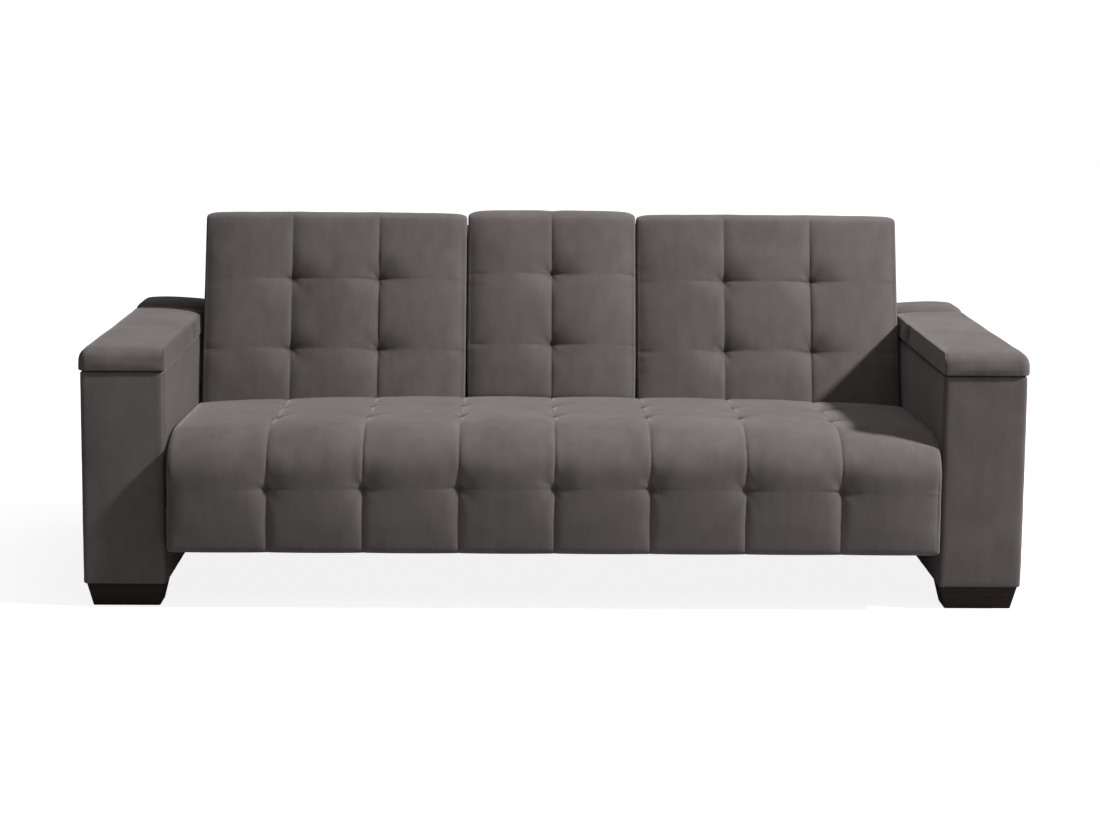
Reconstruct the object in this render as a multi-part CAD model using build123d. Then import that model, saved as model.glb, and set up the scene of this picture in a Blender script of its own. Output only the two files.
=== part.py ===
from build123d import *
import math
import os

os.makedirs("parts", exist_ok=True)

# Fold-flat sofa bed with storage arms. Millimetres, X to the viewer's right, Y to the rear, Z up.
# The origin is on the floor, midway between the seat's front and the arms' rear faces.

# Overall sizes
overall_width = 2235.0
arm_width = 196.5
lid_overhang = 6.0
arm_depth = 900.0
seat_reach = 35.0
foot_height = 57.0
arm_top = 564.0
back_top = 889.0
seat_crown = 440.0
seat_thickness = 300.0
fit_gap = 0.3
touch_overrun = 1.0

# Places that follow from the overall sizes
between_arms = overall_width - 2 * (arm_width + lid_overhang)
arm_front = (seat_reach - arm_depth) / 2
arm_rear = arm_front + arm_depth
arm_inner = between_arms / 2
arm_outer = arm_inner + arm_width


def block(low, high):
    """A square-edged board between two opposite corners."""
    size = [b - a for a, b in zip(low, high)]
    middle = [(a + b) / 2 for a, b in zip(low, high)]
    return Pos(*middle) * Box(*size)


def rod(radius, start, length, axis):
    """A round bar that starts at a point and runs along X, Y or Z."""
    turn = {"x": (0, 90, 0), "y": (-90, 0, 0), "z": (0, 0, 0)}[axis]
    base_on_floor = (Align.CENTER, Align.CENTER, Align.MIN)
    return Location(start, turn) * Cylinder(radius, length, align=base_on_floor)


def chain(points):
    """A closed flat outline. Each step is a line to a point, or an arc (through, to)."""
    edges = []
    here = points[0]
    for step in points[1:]:
        if isinstance(step[0], tuple):
            through, there = step
            edges.append(ThreePointArc(here, through, there))
        else:
            there = step
            edges.append(Line(here, there))
        here = there
    return Face(Wire(edges))


def side_section(x, points):
    """An outline given in depth and height, stood up at one place across the sofa."""
    outline = [
        tuple((x, y, z) for y, z in step) if isinstance(step[0], tuple) else (x, step[0], step[1])
        for step in points
    ]
    return chain(outline)


def save(node, shape):
    """Write one named sub-part, tidied to whole solids."""
    export_step(Compound(label=node, children=list(shape.solids())), f"parts/{node}.step")


def both_sides(node, right_shape):
    """Write a right-hand piece and its mirror image as right_ and left_ sub-parts."""
    save(f"right_{node}", right_shape)
    save(f"left_{node}", mirror(right_shape, Plane.YZ))


def mirrored_pair(right_shape):
    """A right-hand piece and its mirror image as two separate solids."""
    return Compound(children=list(right_shape.solids()) + list(mirror(right_shape, Plane.YZ).solids()))


# Arm box: a plywood box on a bottom board, with a storage bin under the lid
cover_thickness = 5.0
cover_corner = 10.0
panel_thickness = 15.0
bin_floor_top = 300.0
bin_floor_thickness = 9.0
rear_block_depth = 138.0
rear_block_gap = 2.0
lid_length = arm_depth - rear_block_depth - rear_block_gap
box_inner = arm_inner + cover_thickness
box_outer = arm_outer - cover_thickness
box_front = arm_front + cover_thickness
box_rear = arm_rear - cover_thickness
bin_inner = box_inner + panel_thickness
bin_outer = box_outer - panel_thickness
lid_rear = arm_front + lid_length

# Feet and their bolts
foot_inset = 6.0
foot_taper = 13.0
foot_length = 100.0
foot_front_inset = 8.0
foot_edge = 5.0
bolt_radius = 4.0
bolt_clearance = 0.3
bolt_head_radius = 9.0
bolt_head_height = 4.0
foot_bolt_grip = 34.0
rail_bolt_grip = 42.0

# Click-clack hinge: its axis is as far behind the back's front plane as it is below the bed level
lean = 17.0
seat_end_drop = 20.0
pivot_inset = 55.0
pivot_from_front = 565.0
seat_gap_at_pivot = 3.0
plate_thickness = 3.0
plate_gap = 0.5
hinge_pin_radius = 5.0
running_gap = 0.05
hinge_head_radius = 9.0
hinge_eye_radius = 19.0
plate_foot_length = 180.0
plate_elbow_length = 45.0
plate_edge_inset = 22.0
back_plate_reach = 95.0
back_side_gap = 12.0
bed_level = seat_crown - seat_end_drop
pivot_y = arm_front + pivot_from_front
pivot_z = bed_level - pivot_inset
half_lean = math.radians((90 - lean) / 2)
back_drop = pivot_inset * math.tan(half_lean)
toe_radius = math.hypot(pivot_inset, back_drop)
seat_rear = pivot_y - toe_radius - seat_gap_at_pivot
back_end = arm_inner - back_side_gap

# Timber base between the arms
timber_height = 100.0
front_rail_thickness = 45.0
front_bolt_setback = 14.0
seat_board_thickness = 25.0
beam_thickness = 40.0
beam_setback = 20.0
slat_thickness = 12.0
slat_width = 58.0
slat_count = 7
slat_rear_inset = 14.0
dust_cover_thickness = 3.0
dust_cover_inset = 12.0
leg_radius = 20.0
leg_glide_radius = 27.0
leg_glide_height = 8.0
timber_bottom = seat_crown - seat_thickness
timber_top = timber_bottom + timber_height
slat_top = timber_top + slat_thickness
slat_field = seat_rear - slat_rear_inset - arm_front
beam_y = pivot_y + beam_setback
seat_board_outer = back_end + plate_thickness + plate_gap

# Tufting: shares of one column where a section is taken, and how full the pillow is there
station_shares = (0.0, 0.04, 0.14, 0.3, 0.5, 0.7, 0.86, 0.96)
fullness_power = 3.0
arc_middle_share = 1 - math.sqrt(0.5)

# Seat cushion: eight columns, a waterfall front and two rows of tufts on top
seat_side_gap = 6.0
seat_end_extra = 9.0
seat_inner_columns = 6
seat_row_drop = 156.0
seat_corner_drop = 42.0
seat_corner_depth = 72.0
nose_depth_share = 0.25
nose_height_share = 0.72
seat_row_two = 180.0
seat_row_three = 350.0
seat_rear_sink = 12.0
seat_rear_round = 30.0
seat_tuck = 9.0
seat_tuft_depth = 22.0
seat_row_crease = 7.0
seat_column_crease = 10.0
seat_end_inset = 9.0
seat_end_step = 10.0

# Back: three sections, rows of tufts counted down from the top
back_thickness = 150.0
back_cushion_depth = 100.0
back_panel_thickness = 12.0
rear_cover_thickness = 5.0
centre_width = 450.0
section_gap = 5.0
back_columns = 3
back_row_pitch = 186.0
back_top_row = 182.0
back_edge_round = 24.0
back_tuft_depth = 24.0
back_row_crease = 8.0
back_column_crease = 12.0
back_end_inset = 10.0
back_end_step = 12.0
stile_width = 40.0
rail_drop = 35.0
rail_rise = 20.0
frame_top_inset = 14.0

# Centre console: its pins sit this far behind its front plane, and its foot swings clear of the back's
# bottom rail with some heel room to spare
console_pin_inset = 45.0
console_heel_room = 12.0
console_lift = 2.0
console_rise = 10.0
console_row_rise = 16.0
console_thickness = 130.0
console_cushion_depth = 62.0
console_board_thickness = 12.0
console_columns = 2
console_cushion_inset = 3.0
console_top_round = 34.0
console_board_inset = 14.0
console_plate_thickness = 2.5
console_bracket_thickness = 2.7
console_pin_end_gap = 0.2
console_eye_radius = 14.0
console_plate_reach = 110.0
bracket_reach = 60.0
bracket_edge_inset = 3.0
tray_floor = 6.0
well_radius = 41.0
well_spacing = 190.0
well_from_top = 166.0
liner_wall = 2.0
liner_clearance = 0.3
liner_flange = 5.0
console_sweep = console_thickness - console_pin_inset + console_heel_room
well_depth = console_thickness - console_cushion_depth - console_board_thickness - tray_floor

# Lids, rear blocks and the long hinge along each arm's outer edge
hinge_leaf = 1.2
hinge_knuckle = 2.4
hinge_wire = 1.2
hinge_leaf_width = 19.5
hinge_end_inset = 60.0
hinge_knuckles = 5
knuckle_gap = 0.5
hinge_axis_out = 2.7
hinge_axis_drop = 0.4
web_overlap = 1.0
lid_height = 62.0
lid_crown = 6.0
lid_front_overhang = 5.0
lid_inner_overhang = 3.0
lid_board_thickness = 12.0
lid_board_inset = 12.0
lid_edge_round = 14.0
lid_bulge = 2.0
pad_end_shares = ((0.0, 0.5), (0.12, 0.22), (0.45, 0.05), (1.0, 0.0))
rear_block_height = 72.0
rear_block_overhang = 1.0


def fullness(share):
    """How full a tufted pillow is across one column: 0 on the stitched line, 1 in its middle."""
    return 1 - abs(2 * share - 1) ** fullness_power


def column_stations(lines):
    """Places across a cushion, each with its fullness, from the lines between its columns."""
    places = []
    for left, right in zip(lines, lines[1:]):
        for share in station_shares:
            places.append((left + (right - left) * share, fullness(share)))
    places.append((lines[-1], 0.0))
    return places


def with_drawn_ends(places, step, inset):
    """Give the two ends a drawn-in edge: the last sections are inset, the next ones are full."""
    first = places[0][0]
    last = places[-1][0]
    inner = [(x, full, 0.0) for x, full in places if first + step < x < last - step]
    head_full = inner[0][1]
    tail_full = inner[-1][1]
    near_step = step / 4
    near_inset = inset / 4
    head = [
        (first, head_full, inset),
        (first + near_step, head_full, near_inset),
        (first + step, head_full, 0.0),
    ]
    tail = [
        (last - step, tail_full, 0.0),
        (last - near_step, tail_full, near_inset),
        (last, tail_full, inset),
    ]
    return head + inner + tail


def tufted(places, section):
    """A tufted cushion: straight-ruled loft through its sections."""
    return loft([side_section(x, section(x, full, inset)) for x, full, inset in places], ruled=True)


# Arms: five boards, a floor for the bin, a divider, the upholstered cover and two feet each
def arm_panels():
    outer = block((bin_outer, box_front, foot_height), (box_outer, box_rear, arm_top))
    inner = block((box_inner, box_front, foot_height), (bin_inner, box_rear, arm_top))
    front = block((bin_inner, box_front, foot_height), (bin_outer, box_front + panel_thickness, arm_top))
    rear = block((bin_inner, box_rear - panel_thickness, foot_height), (bin_outer, box_rear, arm_top))
    bottom = block(
        (bin_inner, box_front + panel_thickness, foot_height),
        (bin_outer, box_rear - panel_thickness, foot_height + panel_thickness),
    )
    floor = block(
        (bin_inner, box_front + panel_thickness, bin_floor_top - bin_floor_thickness),
        (bin_outer, box_rear - panel_thickness, bin_floor_top),
    )
    divider = block((bin_inner, lid_rear - panel_thickness, bin_floor_top), (bin_outer, lid_rear, arm_top))
    return outer, inner, front, rear, bottom, floor, divider


def arm_cover():
    outside = block((arm_inner, arm_front, foot_height), (arm_outer, arm_rear, arm_top))
    outside = fillet(outside.edges().filter_by(Axis.Z), cover_corner)
    inside = block(
        (box_inner, box_front, foot_height - touch_overrun),
        (box_outer, box_rear, arm_top + touch_overrun),
    )
    return outside - inside


def foot_places():
    centre_x = (arm_inner + arm_outer) / 2
    front_y = arm_front + foot_front_inset + foot_length / 2
    rear_y = arm_rear - foot_front_inset - foot_length / 2
    return (centre_x, front_y), (centre_x, rear_y)


def foot(place):
    wide = arm_outer - arm_inner - 2 * foot_inset
    top = Pos(place[0], place[1], foot_height) * RectangleRounded(wide, foot_length, foot_edge)
    bottom = Pos(*place) * RectangleRounded(wide - 2 * foot_taper, foot_length - 2 * foot_taper, foot_edge)
    block_foot = loft([bottom, top])
    hole_radius = bolt_radius + bolt_clearance
    return block_foot - rod(hole_radius, (*place, foot_height - foot_bolt_grip), foot_bolt_grip, "z")


def foot_bolt(place):
    board_top = foot_height + panel_thickness
    shank = rod(bolt_radius, (*place, board_top - panel_thickness - foot_bolt_grip + touch_overrun),
                panel_thickness + foot_bolt_grip - touch_overrun, "z")
    return shank + rod(bolt_head_radius, (*place, board_top), bolt_head_height, "z")


def rail_bolt_places():
    """Where a bolt goes through each arm's inner panel: the front rail and the rear beam."""
    height = timber_bottom + timber_height / 2
    front = arm_front + front_rail_thickness - front_bolt_setback
    return (front, height), (beam_y + beam_thickness / 2, height)


def rail_bolt(place, radius, head):
    start = bin_inner - panel_thickness - cover_thickness - rail_bolt_grip
    length = bin_inner - start
    bolt = rod(radius, (start + touch_overrun, *place), length - touch_overrun, "x")
    if head:
        bolt = bolt + rod(bolt_head_radius, (bin_inner, *place), bolt_head_height, "x")
    return bolt


outer_panel, inner_panel, front_panel, rear_panel, bottom_board, bin_floor, bin_divider = arm_panels()
cover = arm_cover()
feet = [foot(place) for place in foot_places()]
for place in foot_places():
    bottom_board = bottom_board - rod(bolt_radius + bolt_clearance, (*place, 0), arm_top, "z")
rail_holes = [rail_bolt(place, bolt_radius + bolt_clearance, False) for place in rail_bolt_places()]
rail_hole_overrun = [Pos(touch_overrun, 0, 0) * hole for hole in rail_holes]
for hole in rail_hole_overrun:
    inner_panel = inner_panel - hole
    cover = cover - hole
both_sides("arm_outer_panel", outer_panel)
both_sides("arm_inner_panel", inner_panel)
both_sides("arm_front_panel", front_panel)
both_sides("arm_rear_panel", rear_panel)
both_sides("arm_bottom_board", bottom_board)
both_sides("bin_floor", bin_floor)
both_sides("bin_divider", bin_divider)
both_sides("arm_cover", cover)
both_sides("front_foot", feet[0])
both_sides("rear_foot", feet[1])
foot_bolts = Compound(children=[foot_bolt(place) for place in foot_places()])
save("foot_bolts", mirrored_pair(foot_bolts))
rail_bolts = Compound(children=[rail_bolt(place, bolt_radius, True) for place in rail_bolt_places()])
save("arm_bolts", mirrored_pair(rail_bolts))


# Base between the arms: front rail, rear beam, three seat boards, slats, dust cover and a centre leg
def cross_timber(front, thickness):
    timber = block((-arm_inner, front, timber_bottom), (arm_inner, front + thickness, timber_top))
    for hole in rail_holes:
        timber = timber - Pos(-touch_overrun, 0, 0) * hole
        timber = timber - Pos(touch_overrun, 0, 0) * mirror(hole, Plane.YZ)
    return timber


def seat_board(outer_x):
    return block(
        (outer_x - seat_board_thickness, arm_front + front_rail_thickness, timber_bottom),
        (outer_x, beam_y, timber_top),
    )


def slats():
    spacing = (slat_field - slat_width) / (slat_count - 1)
    fronts = [arm_front + spacing * number for number in range(slat_count)]
    return Compound(children=[
        block((-seat_board_outer, y, timber_top), (seat_board_outer, y + slat_width, slat_top))
        for y in fronts
    ])


def centre_leg():
    middle = beam_y + beam_thickness / 2
    glide = rod(leg_glide_radius, (0, middle, 0), leg_glide_height, "z")
    return glide + rod(leg_radius, (0, middle, leg_glide_height), timber_bottom - leg_glide_height, "z")


save("front_rail", cross_timber(arm_front, front_rail_thickness))
save("rear_beam", cross_timber(beam_y, beam_thickness))
both_sides("seat_board", seat_board(seat_board_outer))
save("centre_seat_board", seat_board(seat_board_thickness / 2))
save("seat_slats", slats())
save("centre_leg", centre_leg())
save("dust_cover", block(
    (dust_cover_inset - arm_inner, arm_front + dust_cover_inset, timber_bottom - dust_cover_thickness),
    (arm_inner - dust_cover_inset, beam_y - dust_cover_inset, timber_bottom),
))

# Seat cushion
seat_end = arm_inner - seat_side_gap
seat_column = 2 * (seat_end - seat_end_extra) / (seat_inner_columns + 2)
seat_row_height = seat_crown - seat_row_drop


def seat_lines():
    inner = [seat_column * (number - seat_inner_columns / 2) for number in range(seat_inner_columns + 1)]
    return [-seat_end] + inner + [seat_end]


def seat_section(x, full, inset):
    """The seat's outline at one place: front, rounded nose, three pillows on top, then round the back."""
    slack = 1 - full
    sag = seat_end_drop * abs(x / seat_end) ** fullness_power + inset
    line_dip = seat_column_crease * slack
    row_dip = seat_row_crease + (seat_tuft_depth - seat_row_crease) * slack
    face = arm_front - seat_reach + line_dip + inset
    row_face = arm_front - seat_reach + row_dip + inset
    top = seat_crown - sag - line_dip
    row_top = seat_crown - sag - row_dip
    row_two = arm_front + seat_row_two
    row_three = arm_front + seat_row_three
    corner_height = seat_crown - seat_corner_drop - sag
    nose = arm_front - seat_reach + seat_corner_depth + line_dip
    nose_through = (
        face + (nose - face) * nose_depth_share,
        corner_height + (top - corner_height) * nose_height_share,
    )
    rear_top = seat_rear - seat_rear_round
    rear_height = top - seat_rear_sink
    rear_bend = seat_rear_round * arc_middle_share
    rear_through = (seat_rear - rear_bend, rear_height - rear_bend)
    rail_face = arm_front
    return [
        (face + seat_tuck, timber_bottom),
        ((face, (timber_bottom + seat_row_height) / 2), (row_face, seat_row_height)),
        ((face, (seat_row_height + corner_height) / 2), (face + seat_row_crease / 2, corner_height)),
        (nose_through, (nose, top)),
        (((nose + row_two) / 2, top + seat_row_crease / 2), (row_two, row_top)),
        (((row_two + row_three) / 2, top), (row_three, row_top - seat_rear_sink / 2)),
        (((row_three + rear_top) / 2, top - seat_rear_sink / 2), (rear_top, rear_height)),
        (rear_through, (seat_rear, rear_height - seat_rear_round)),
        (seat_rear, slat_top),
        (rail_face, slat_top),
        (rail_face, timber_bottom),
        (face + seat_tuck, timber_bottom),
    ]


seat_places = with_drawn_ends(column_stations(seat_lines()), seat_end_step, seat_end_inset)
save("seat_cushion", tufted(seat_places, seat_section))


# Back: built upright about the hinge axis, with Y counted to the rear, then leaned back
back_place = Location((0, pivot_y, pivot_z), (-lean, 0, 0))
lean_angle = math.radians(lean)
front_plane = -pivot_inset
cushion_rear = front_plane + back_cushion_depth
panel_rear = cushion_rear + back_panel_thickness
frame_rear = front_plane + back_thickness - rear_cover_thickness
cover_rear = front_plane + back_thickness
back_height = (back_top - pivot_z - pivot_inset * math.sin(lean_angle)) / math.cos(lean_angle)
frame_top = back_height - frame_top_inset
row_high = back_height - back_top_row
row_low = row_high - back_row_pitch
section_inner = centre_width / 2


def cushion_section(full, inset, low, high, rear, low_rear, corner, row_rise):
    """A tufted back cushion's outline: bottom, three pillows up the front, rounded top, flat rear."""
    lower_row = row_low + row_rise
    upper_row = row_high + row_rise
    slack = 1 - full
    line_dip = back_column_crease * slack
    row_dip = back_row_crease + (back_tuft_depth - back_row_crease) * slack
    face = front_plane + line_dip + inset
    row_face = front_plane + row_dip + inset
    toe = low + back_edge_round
    heel_share = (face + back_edge_round - front_plane) / (rear - front_plane)
    brow = high - inset - corner
    top_dip = high - inset - line_dip / 2
    toe_bend = back_edge_round * arc_middle_share
    brow_bend = corner * arc_middle_share
    edge_face = face + back_row_crease / 2
    return [
        (rear, low_rear),
        (face + back_edge_round, low + (low_rear - low) * heel_share),
        ((face + toe_bend, low + toe_bend), (edge_face, toe)),
        ((face, (toe + lower_row) / 2), (row_face, lower_row)),
        ((face, (lower_row + upper_row) / 2), (row_face, upper_row)),
        ((face, (upper_row + brow) / 2), (edge_face, brow)),
        ((face + brow_bend, top_dip - brow_bend), (face + corner, top_dip)),
        (rear, top_dip),
        (rear, low_rear),
    ]


def side_cushion_section(x, full, inset):
    return cushion_section(
        full, inset, -back_drop, back_height, cushion_rear, -back_drop, back_edge_round, 0)


def even_lines(start, end, columns):
    return [start + (end - start) * number / columns for number in range(columns + 1)]


side_lines = even_lines(section_inner, back_end, back_columns)
side_places = with_drawn_ends(column_stations(side_lines), back_end_step, back_end_inset)
side_cushion = tufted(side_places, side_cushion_section)
back_panel = block((section_inner, cushion_rear, -rail_drop), (back_end, panel_rear, frame_top))
outer_stile = block((back_end - stile_width, panel_rear, rail_rise), (back_end, frame_rear, frame_top))
inner_stile = block(
    (section_inner, panel_rear, rail_rise), (section_inner + stile_width, frame_rear, frame_top))
bottom_rail = block((-back_end, panel_rear, -rail_drop), (back_end, frame_rear, rail_rise))
flap_top = frame_top + rear_cover_thickness
rear_cover = block((-back_end, frame_rear, -rail_drop), (back_end, cover_rear, flap_top))
for end_a, end_b in ((-back_end, -section_inner), (section_inner, back_end)):
    rear_cover = rear_cover + block((end_a, cushion_rear, frame_top), (end_b, cover_rear, flap_top))
rear_edges = rear_cover.edges().filter_by(Axis.X).sort_by(Axis.Y)[-2:]
rear_cover = fillet(rear_edges.sort_by(Axis.Z)[-1:], rear_cover_thickness - fit_gap)
both_sides("back_cushion", back_place * side_cushion)
both_sides("back_panel", back_place * back_panel)
both_sides("back_outer_stile", back_place * outer_stile)
both_sides("back_inner_stile", back_place * inner_stile)
save("back_bottom_rail", back_place * bottom_rail)
save("back_rear_cover", back_place * rear_cover)


# Click-clack hinge: a plate on each seat board and one on each outer stile, joined by a headed pin
def flat_plate(circles, corners, x_low, thickness):
    """A steel plate in the side view: the hull of some round eyes and a rectangle's corners."""
    dots = [Pos(y, z) * Circle(radius) for y, z, radius in circles]
    dots += [Pos(y, z) * Circle(plate_gap) for y, z in corners]
    outline = make_hull(Sketch(children=dots).edges())
    side_view = Plane(origin=(x_low, 0, 0), x_dir=(0, 1, 0), z_dir=(1, 0, 0))
    return extrude(side_view * outline, amount=thickness)


plate_low = timber_bottom + plate_edge_inset
plate_high = timber_top - plate_edge_inset
elbow = (pivot_y - plate_elbow_length, (plate_low + plate_high) / 2, (plate_high - plate_low) / 2)
plate_eye = (pivot_y, pivot_z, hinge_eye_radius)
plate_foot_y = pivot_y - plate_foot_length
foot_plate_corners = [(plate_foot_y, plate_low), (plate_foot_y, plate_high)]
seat_plate = flat_plate([elbow], foot_plate_corners, seat_board_outer, plate_thickness)
seat_plate = seat_plate + flat_plate([elbow, plate_eye], [], seat_board_outer, plate_thickness)
pin_hole = rod(
    hinge_pin_radius + running_gap, (back_end - touch_overrun, pivot_y, pivot_z), back_side_gap, "x")
seat_plate = seat_plate - pin_hole
stile_corners = [
    (panel_rear + bracket_edge_inset, rail_rise), (frame_rear - bracket_edge_inset, rail_rise),
    (panel_rear + bracket_edge_inset, back_plate_reach), (frame_rear - bracket_edge_inset, back_plate_reach),
]
back_plate = back_place * flat_plate([(0, 0, hinge_eye_radius)], stile_corners, back_end, plate_thickness)
back_plate = back_plate - pin_hole
pin_start = back_end + fit_gap
plate_outer = seat_board_outer + plate_thickness
hinge_pin = rod(hinge_pin_radius, (pin_start, pivot_y, pivot_z), plate_outer - pin_start, "x")
hinge_pin = hinge_pin + rod(hinge_head_radius, (plate_outer, pivot_y, pivot_z), plate_thickness, "x")
save("seat_hinge_plates", mirrored_pair(seat_plate))
save("back_hinge_plates", mirrored_pair(back_plate))
save("hinge_pins", mirrored_pair(hinge_pin))

# Centre console: cushion, board, tray with two lined cup wells, side plates and the brackets that carry it
console_toe_z = pivot_z + pivot_inset * math.sin(lean_angle)
junction_height = seat_crown - seat_end_drop - seat_row_crease - seat_rear_sink / 2
console_low = (junction_height + console_lift - console_toe_z) / math.cos(lean_angle)
console_pin_z = console_low + math.sqrt(console_sweep**2 - console_pin_inset**2)
console_pin_y = front_plane + console_pin_inset
console_rear = front_plane + console_thickness
console_low_rear = console_pin_z - math.sqrt(console_sweep**2 - (console_rear - console_pin_y) ** 2)
console_high = back_height + console_rise
console_end = section_inner - section_gap
console_cushion_rear = front_plane + console_cushion_depth
console_board_rear = console_cushion_rear + console_board_thickness
console_plate_inner = console_end - console_plate_thickness
cushion_half = console_end - console_cushion_inset


def slanted_low(depth):
    """Height of the console's slanted underside at a depth behind its front plane."""
    return console_low + (console_low_rear - console_low) * depth / console_thickness


def console_cushion_section(x, full, inset):
    low_rear = slanted_low(console_cushion_depth)
    return cushion_section(
        full, inset, console_low, console_high, console_cushion_rear, low_rear, console_top_round,
        console_row_rise)


console_lines = even_lines(-cushion_half, cushion_half, console_columns)
console_places = with_drawn_ends(column_stations(console_lines), back_end_step, back_end_inset)
console_cushion = tufted(console_places, console_cushion_section)
board_low = slanted_low(console_cushion_depth + console_board_thickness)
console_board = block(
    (-console_plate_inner, console_cushion_rear, board_low),
    (console_plate_inner, console_board_rear, console_high - console_board_inset),
)
tray = block(
    (-console_plate_inner, console_board_rear, console_low_rear),
    (console_plate_inner, console_rear, console_high - console_board_inset),
)
well_z = console_high - well_from_top
liners = []
for side in (-1, 1):
    well_x = side * well_spacing / 2
    mouth = (well_x, console_rear - well_depth, well_z)
    tray = tray - rod(well_radius, mouth, well_depth + touch_overrun, "y")
    outer_radius = well_radius - liner_clearance
    cup = rod(outer_radius, (well_x, console_rear - well_depth + liner_clearance, well_z),
              well_depth - liner_clearance, "y")
    cup = cup + rod(well_radius + liner_flange, (well_x, console_rear, well_z), liner_wall, "y")
    hollow_start = console_rear - well_depth + liner_clearance + liner_wall
    hollow = (well_x, hollow_start, well_z)
    cup = cup - rod(outer_radius - liner_wall, hollow, well_depth + touch_overrun, "y")
    liners.append(cup)

pin_eye = (console_pin_y, console_pin_z, console_eye_radius)
plate_corners = [
    (console_cushion_rear + bracket_edge_inset, console_pin_z),
    (console_board_rear - bracket_edge_inset, console_pin_z),
    (console_cushion_rear + bracket_edge_inset, console_pin_z + console_plate_reach),
    (console_board_rear - bracket_edge_inset, console_pin_z + console_plate_reach),
]
console_plate = flat_plate([pin_eye], plate_corners, console_plate_inner, console_plate_thickness)
console_pin_hole = rod(
    hinge_pin_radius + running_gap, (cushion_half, console_pin_y, console_pin_z), centre_width, "x")
console_plate = console_plate - console_pin_hole
bracket_corners = [
    (panel_rear + bracket_edge_inset, console_pin_z), (frame_rear - bracket_edge_inset, console_pin_z),
    (panel_rear + bracket_edge_inset, console_pin_z + bracket_reach),
    (frame_rear - bracket_edge_inset, console_pin_z + bracket_reach),
]
bracket_inner = section_inner - console_bracket_thickness
bracket = flat_plate([pin_eye], bracket_corners, bracket_inner, console_bracket_thickness)
console_pin_start = cushion_half + console_pin_end_gap
bracket = bracket + rod(
    hinge_pin_radius, (console_pin_start, console_pin_y, console_pin_z),
    section_inner - console_pin_start, "x",
)
save("console_cushion", back_place * console_cushion)
save("console_board", back_place * console_board)
save("console_tray", back_place * tray)
save("cup_liners", back_place * Compound(children=liners))
save("console_side_plates", mirrored_pair(back_place * console_plate))
save("console_brackets", mirrored_pair(back_place * bracket))

# Lids: a board under a crowned pad, on a long hinge along the arm's outer edge
hinge_x = arm_outer + hinge_axis_out
hinge_z = arm_top - hinge_axis_drop
lid_bottom = arm_top + 2 * hinge_leaf
leaf_inner = arm_outer - hinge_leaf_width
knuckle_span = (lid_length - 2 * hinge_end_inset) / hinge_knuckles
knuckle_length = knuckle_span - knuckle_gap


def hinge_half(leaf_low, numbers):
    """One leaf with its own knuckles."""
    start = arm_front + hinge_end_inset
    end = lid_rear - hinge_end_inset
    leaf = block((leaf_inner, start, leaf_low), (arm_outer, end, leaf_low + hinge_leaf))
    for number in numbers:
        y = start + knuckle_span * number
        web_far = (hinge_x, y + knuckle_length, leaf_low + hinge_leaf)
        web = block((arm_outer - web_overlap, y, leaf_low), web_far)
        leaf = leaf + web + rod(hinge_knuckle, (hinge_x, y, hinge_z), knuckle_length, "y")
    return leaf


hinge_start = arm_front + hinge_end_inset
hinge_length = lid_length - 2 * hinge_end_inset
wire_hole = rod(hinge_wire + running_gap, (hinge_x, hinge_start - touch_overrun, hinge_z),
                hinge_length + 2 * touch_overrun, "y")
hinge_wire_rod = rod(hinge_wire, (hinge_x, hinge_start, hinge_z), hinge_length - knuckle_gap, "y")
fixed_leaf = hinge_half(arm_top, range(0, hinge_knuckles, 2)) + hinge_wire_rod
lid_leaf = hinge_half(arm_top + hinge_leaf, range(1, hinge_knuckles, 2)) - wire_hole


def pad_section(y, low_x, high_x, bottom, top, inset, crown):
    """A pad's outline across the arm: flat underside, full sides and a crowned top with soft edges."""
    left = low_x + inset
    right = high_x - inset
    shoulder = top - crown - inset
    edge = lid_edge_round
    bend = edge * arc_middle_share
    middle = (left + right) / 2
    height = (bottom + shoulder - edge) / 2
    return chain([
        (left + lid_bulge, y, bottom),
        ((left, y, height), (left + lid_bulge / 2, y, shoulder - edge)),
        ((left + bend, y, shoulder - bend), (left + edge, y, shoulder)),
        ((middle, y, top - inset), (right - edge, y, shoulder)),
        ((right - bend, y, shoulder - bend), (right - lid_bulge / 2, y, shoulder - edge)),
        ((right, y, height), (right - lid_bulge, y, bottom)),
        (left + lid_bulge, y, bottom),
    ])


def pad(low_x, high_x, front, rear, bottom, top, crown):
    """A padded block: sections that draw in towards its front and rear ends."""
    edge = lid_edge_round
    places = [(front + edge * along, edge * inward) for along, inward in pad_end_shares]
    places += [(rear - edge * along, edge * inward) for along, inward in reversed(pad_end_shares)]
    sections = [pad_section(y, low_x, high_x, bottom, top, inset, crown) for y, inset in places]
    return loft(sections, ruled=True)


lid_inner = arm_inner - lid_inner_overhang
lid_outer = overall_width / 2
lid_front = arm_front - lid_front_overhang
lid_top = arm_top + lid_height
rear_block_top = arm_top + rear_block_height
lid_board = block(
    (lid_inner + lid_board_inset, lid_front + lid_board_inset, lid_bottom),
    (lid_outer - lid_board_inset, lid_rear - lid_board_inset, lid_bottom + lid_board_thickness),
)
lid_pad = pad(lid_inner, lid_outer, lid_front, lid_rear, lid_bottom, lid_top, lid_crown) - lid_board
rear_block = pad(
    arm_inner, arm_outer + rear_block_overhang, lid_rear + rear_block_gap, arm_rear, arm_top,
    rear_block_top, lid_crown,
)
both_sides("lid_board", lid_board)
both_sides("lid_pad", lid_pad)
both_sides("lid_hinge_fixed_leaf", fixed_leaf)
both_sides("lid_hinge_lid_leaf", lid_leaf)
both_sides("arm_rear_block", rear_block)
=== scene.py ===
import math
import bmesh
import bpy
from mathutils import Matrix, Vector, noise
from mathutils.bvhtree import BVHTree
from mathutils.interpolate import poly_3d_calc


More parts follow.
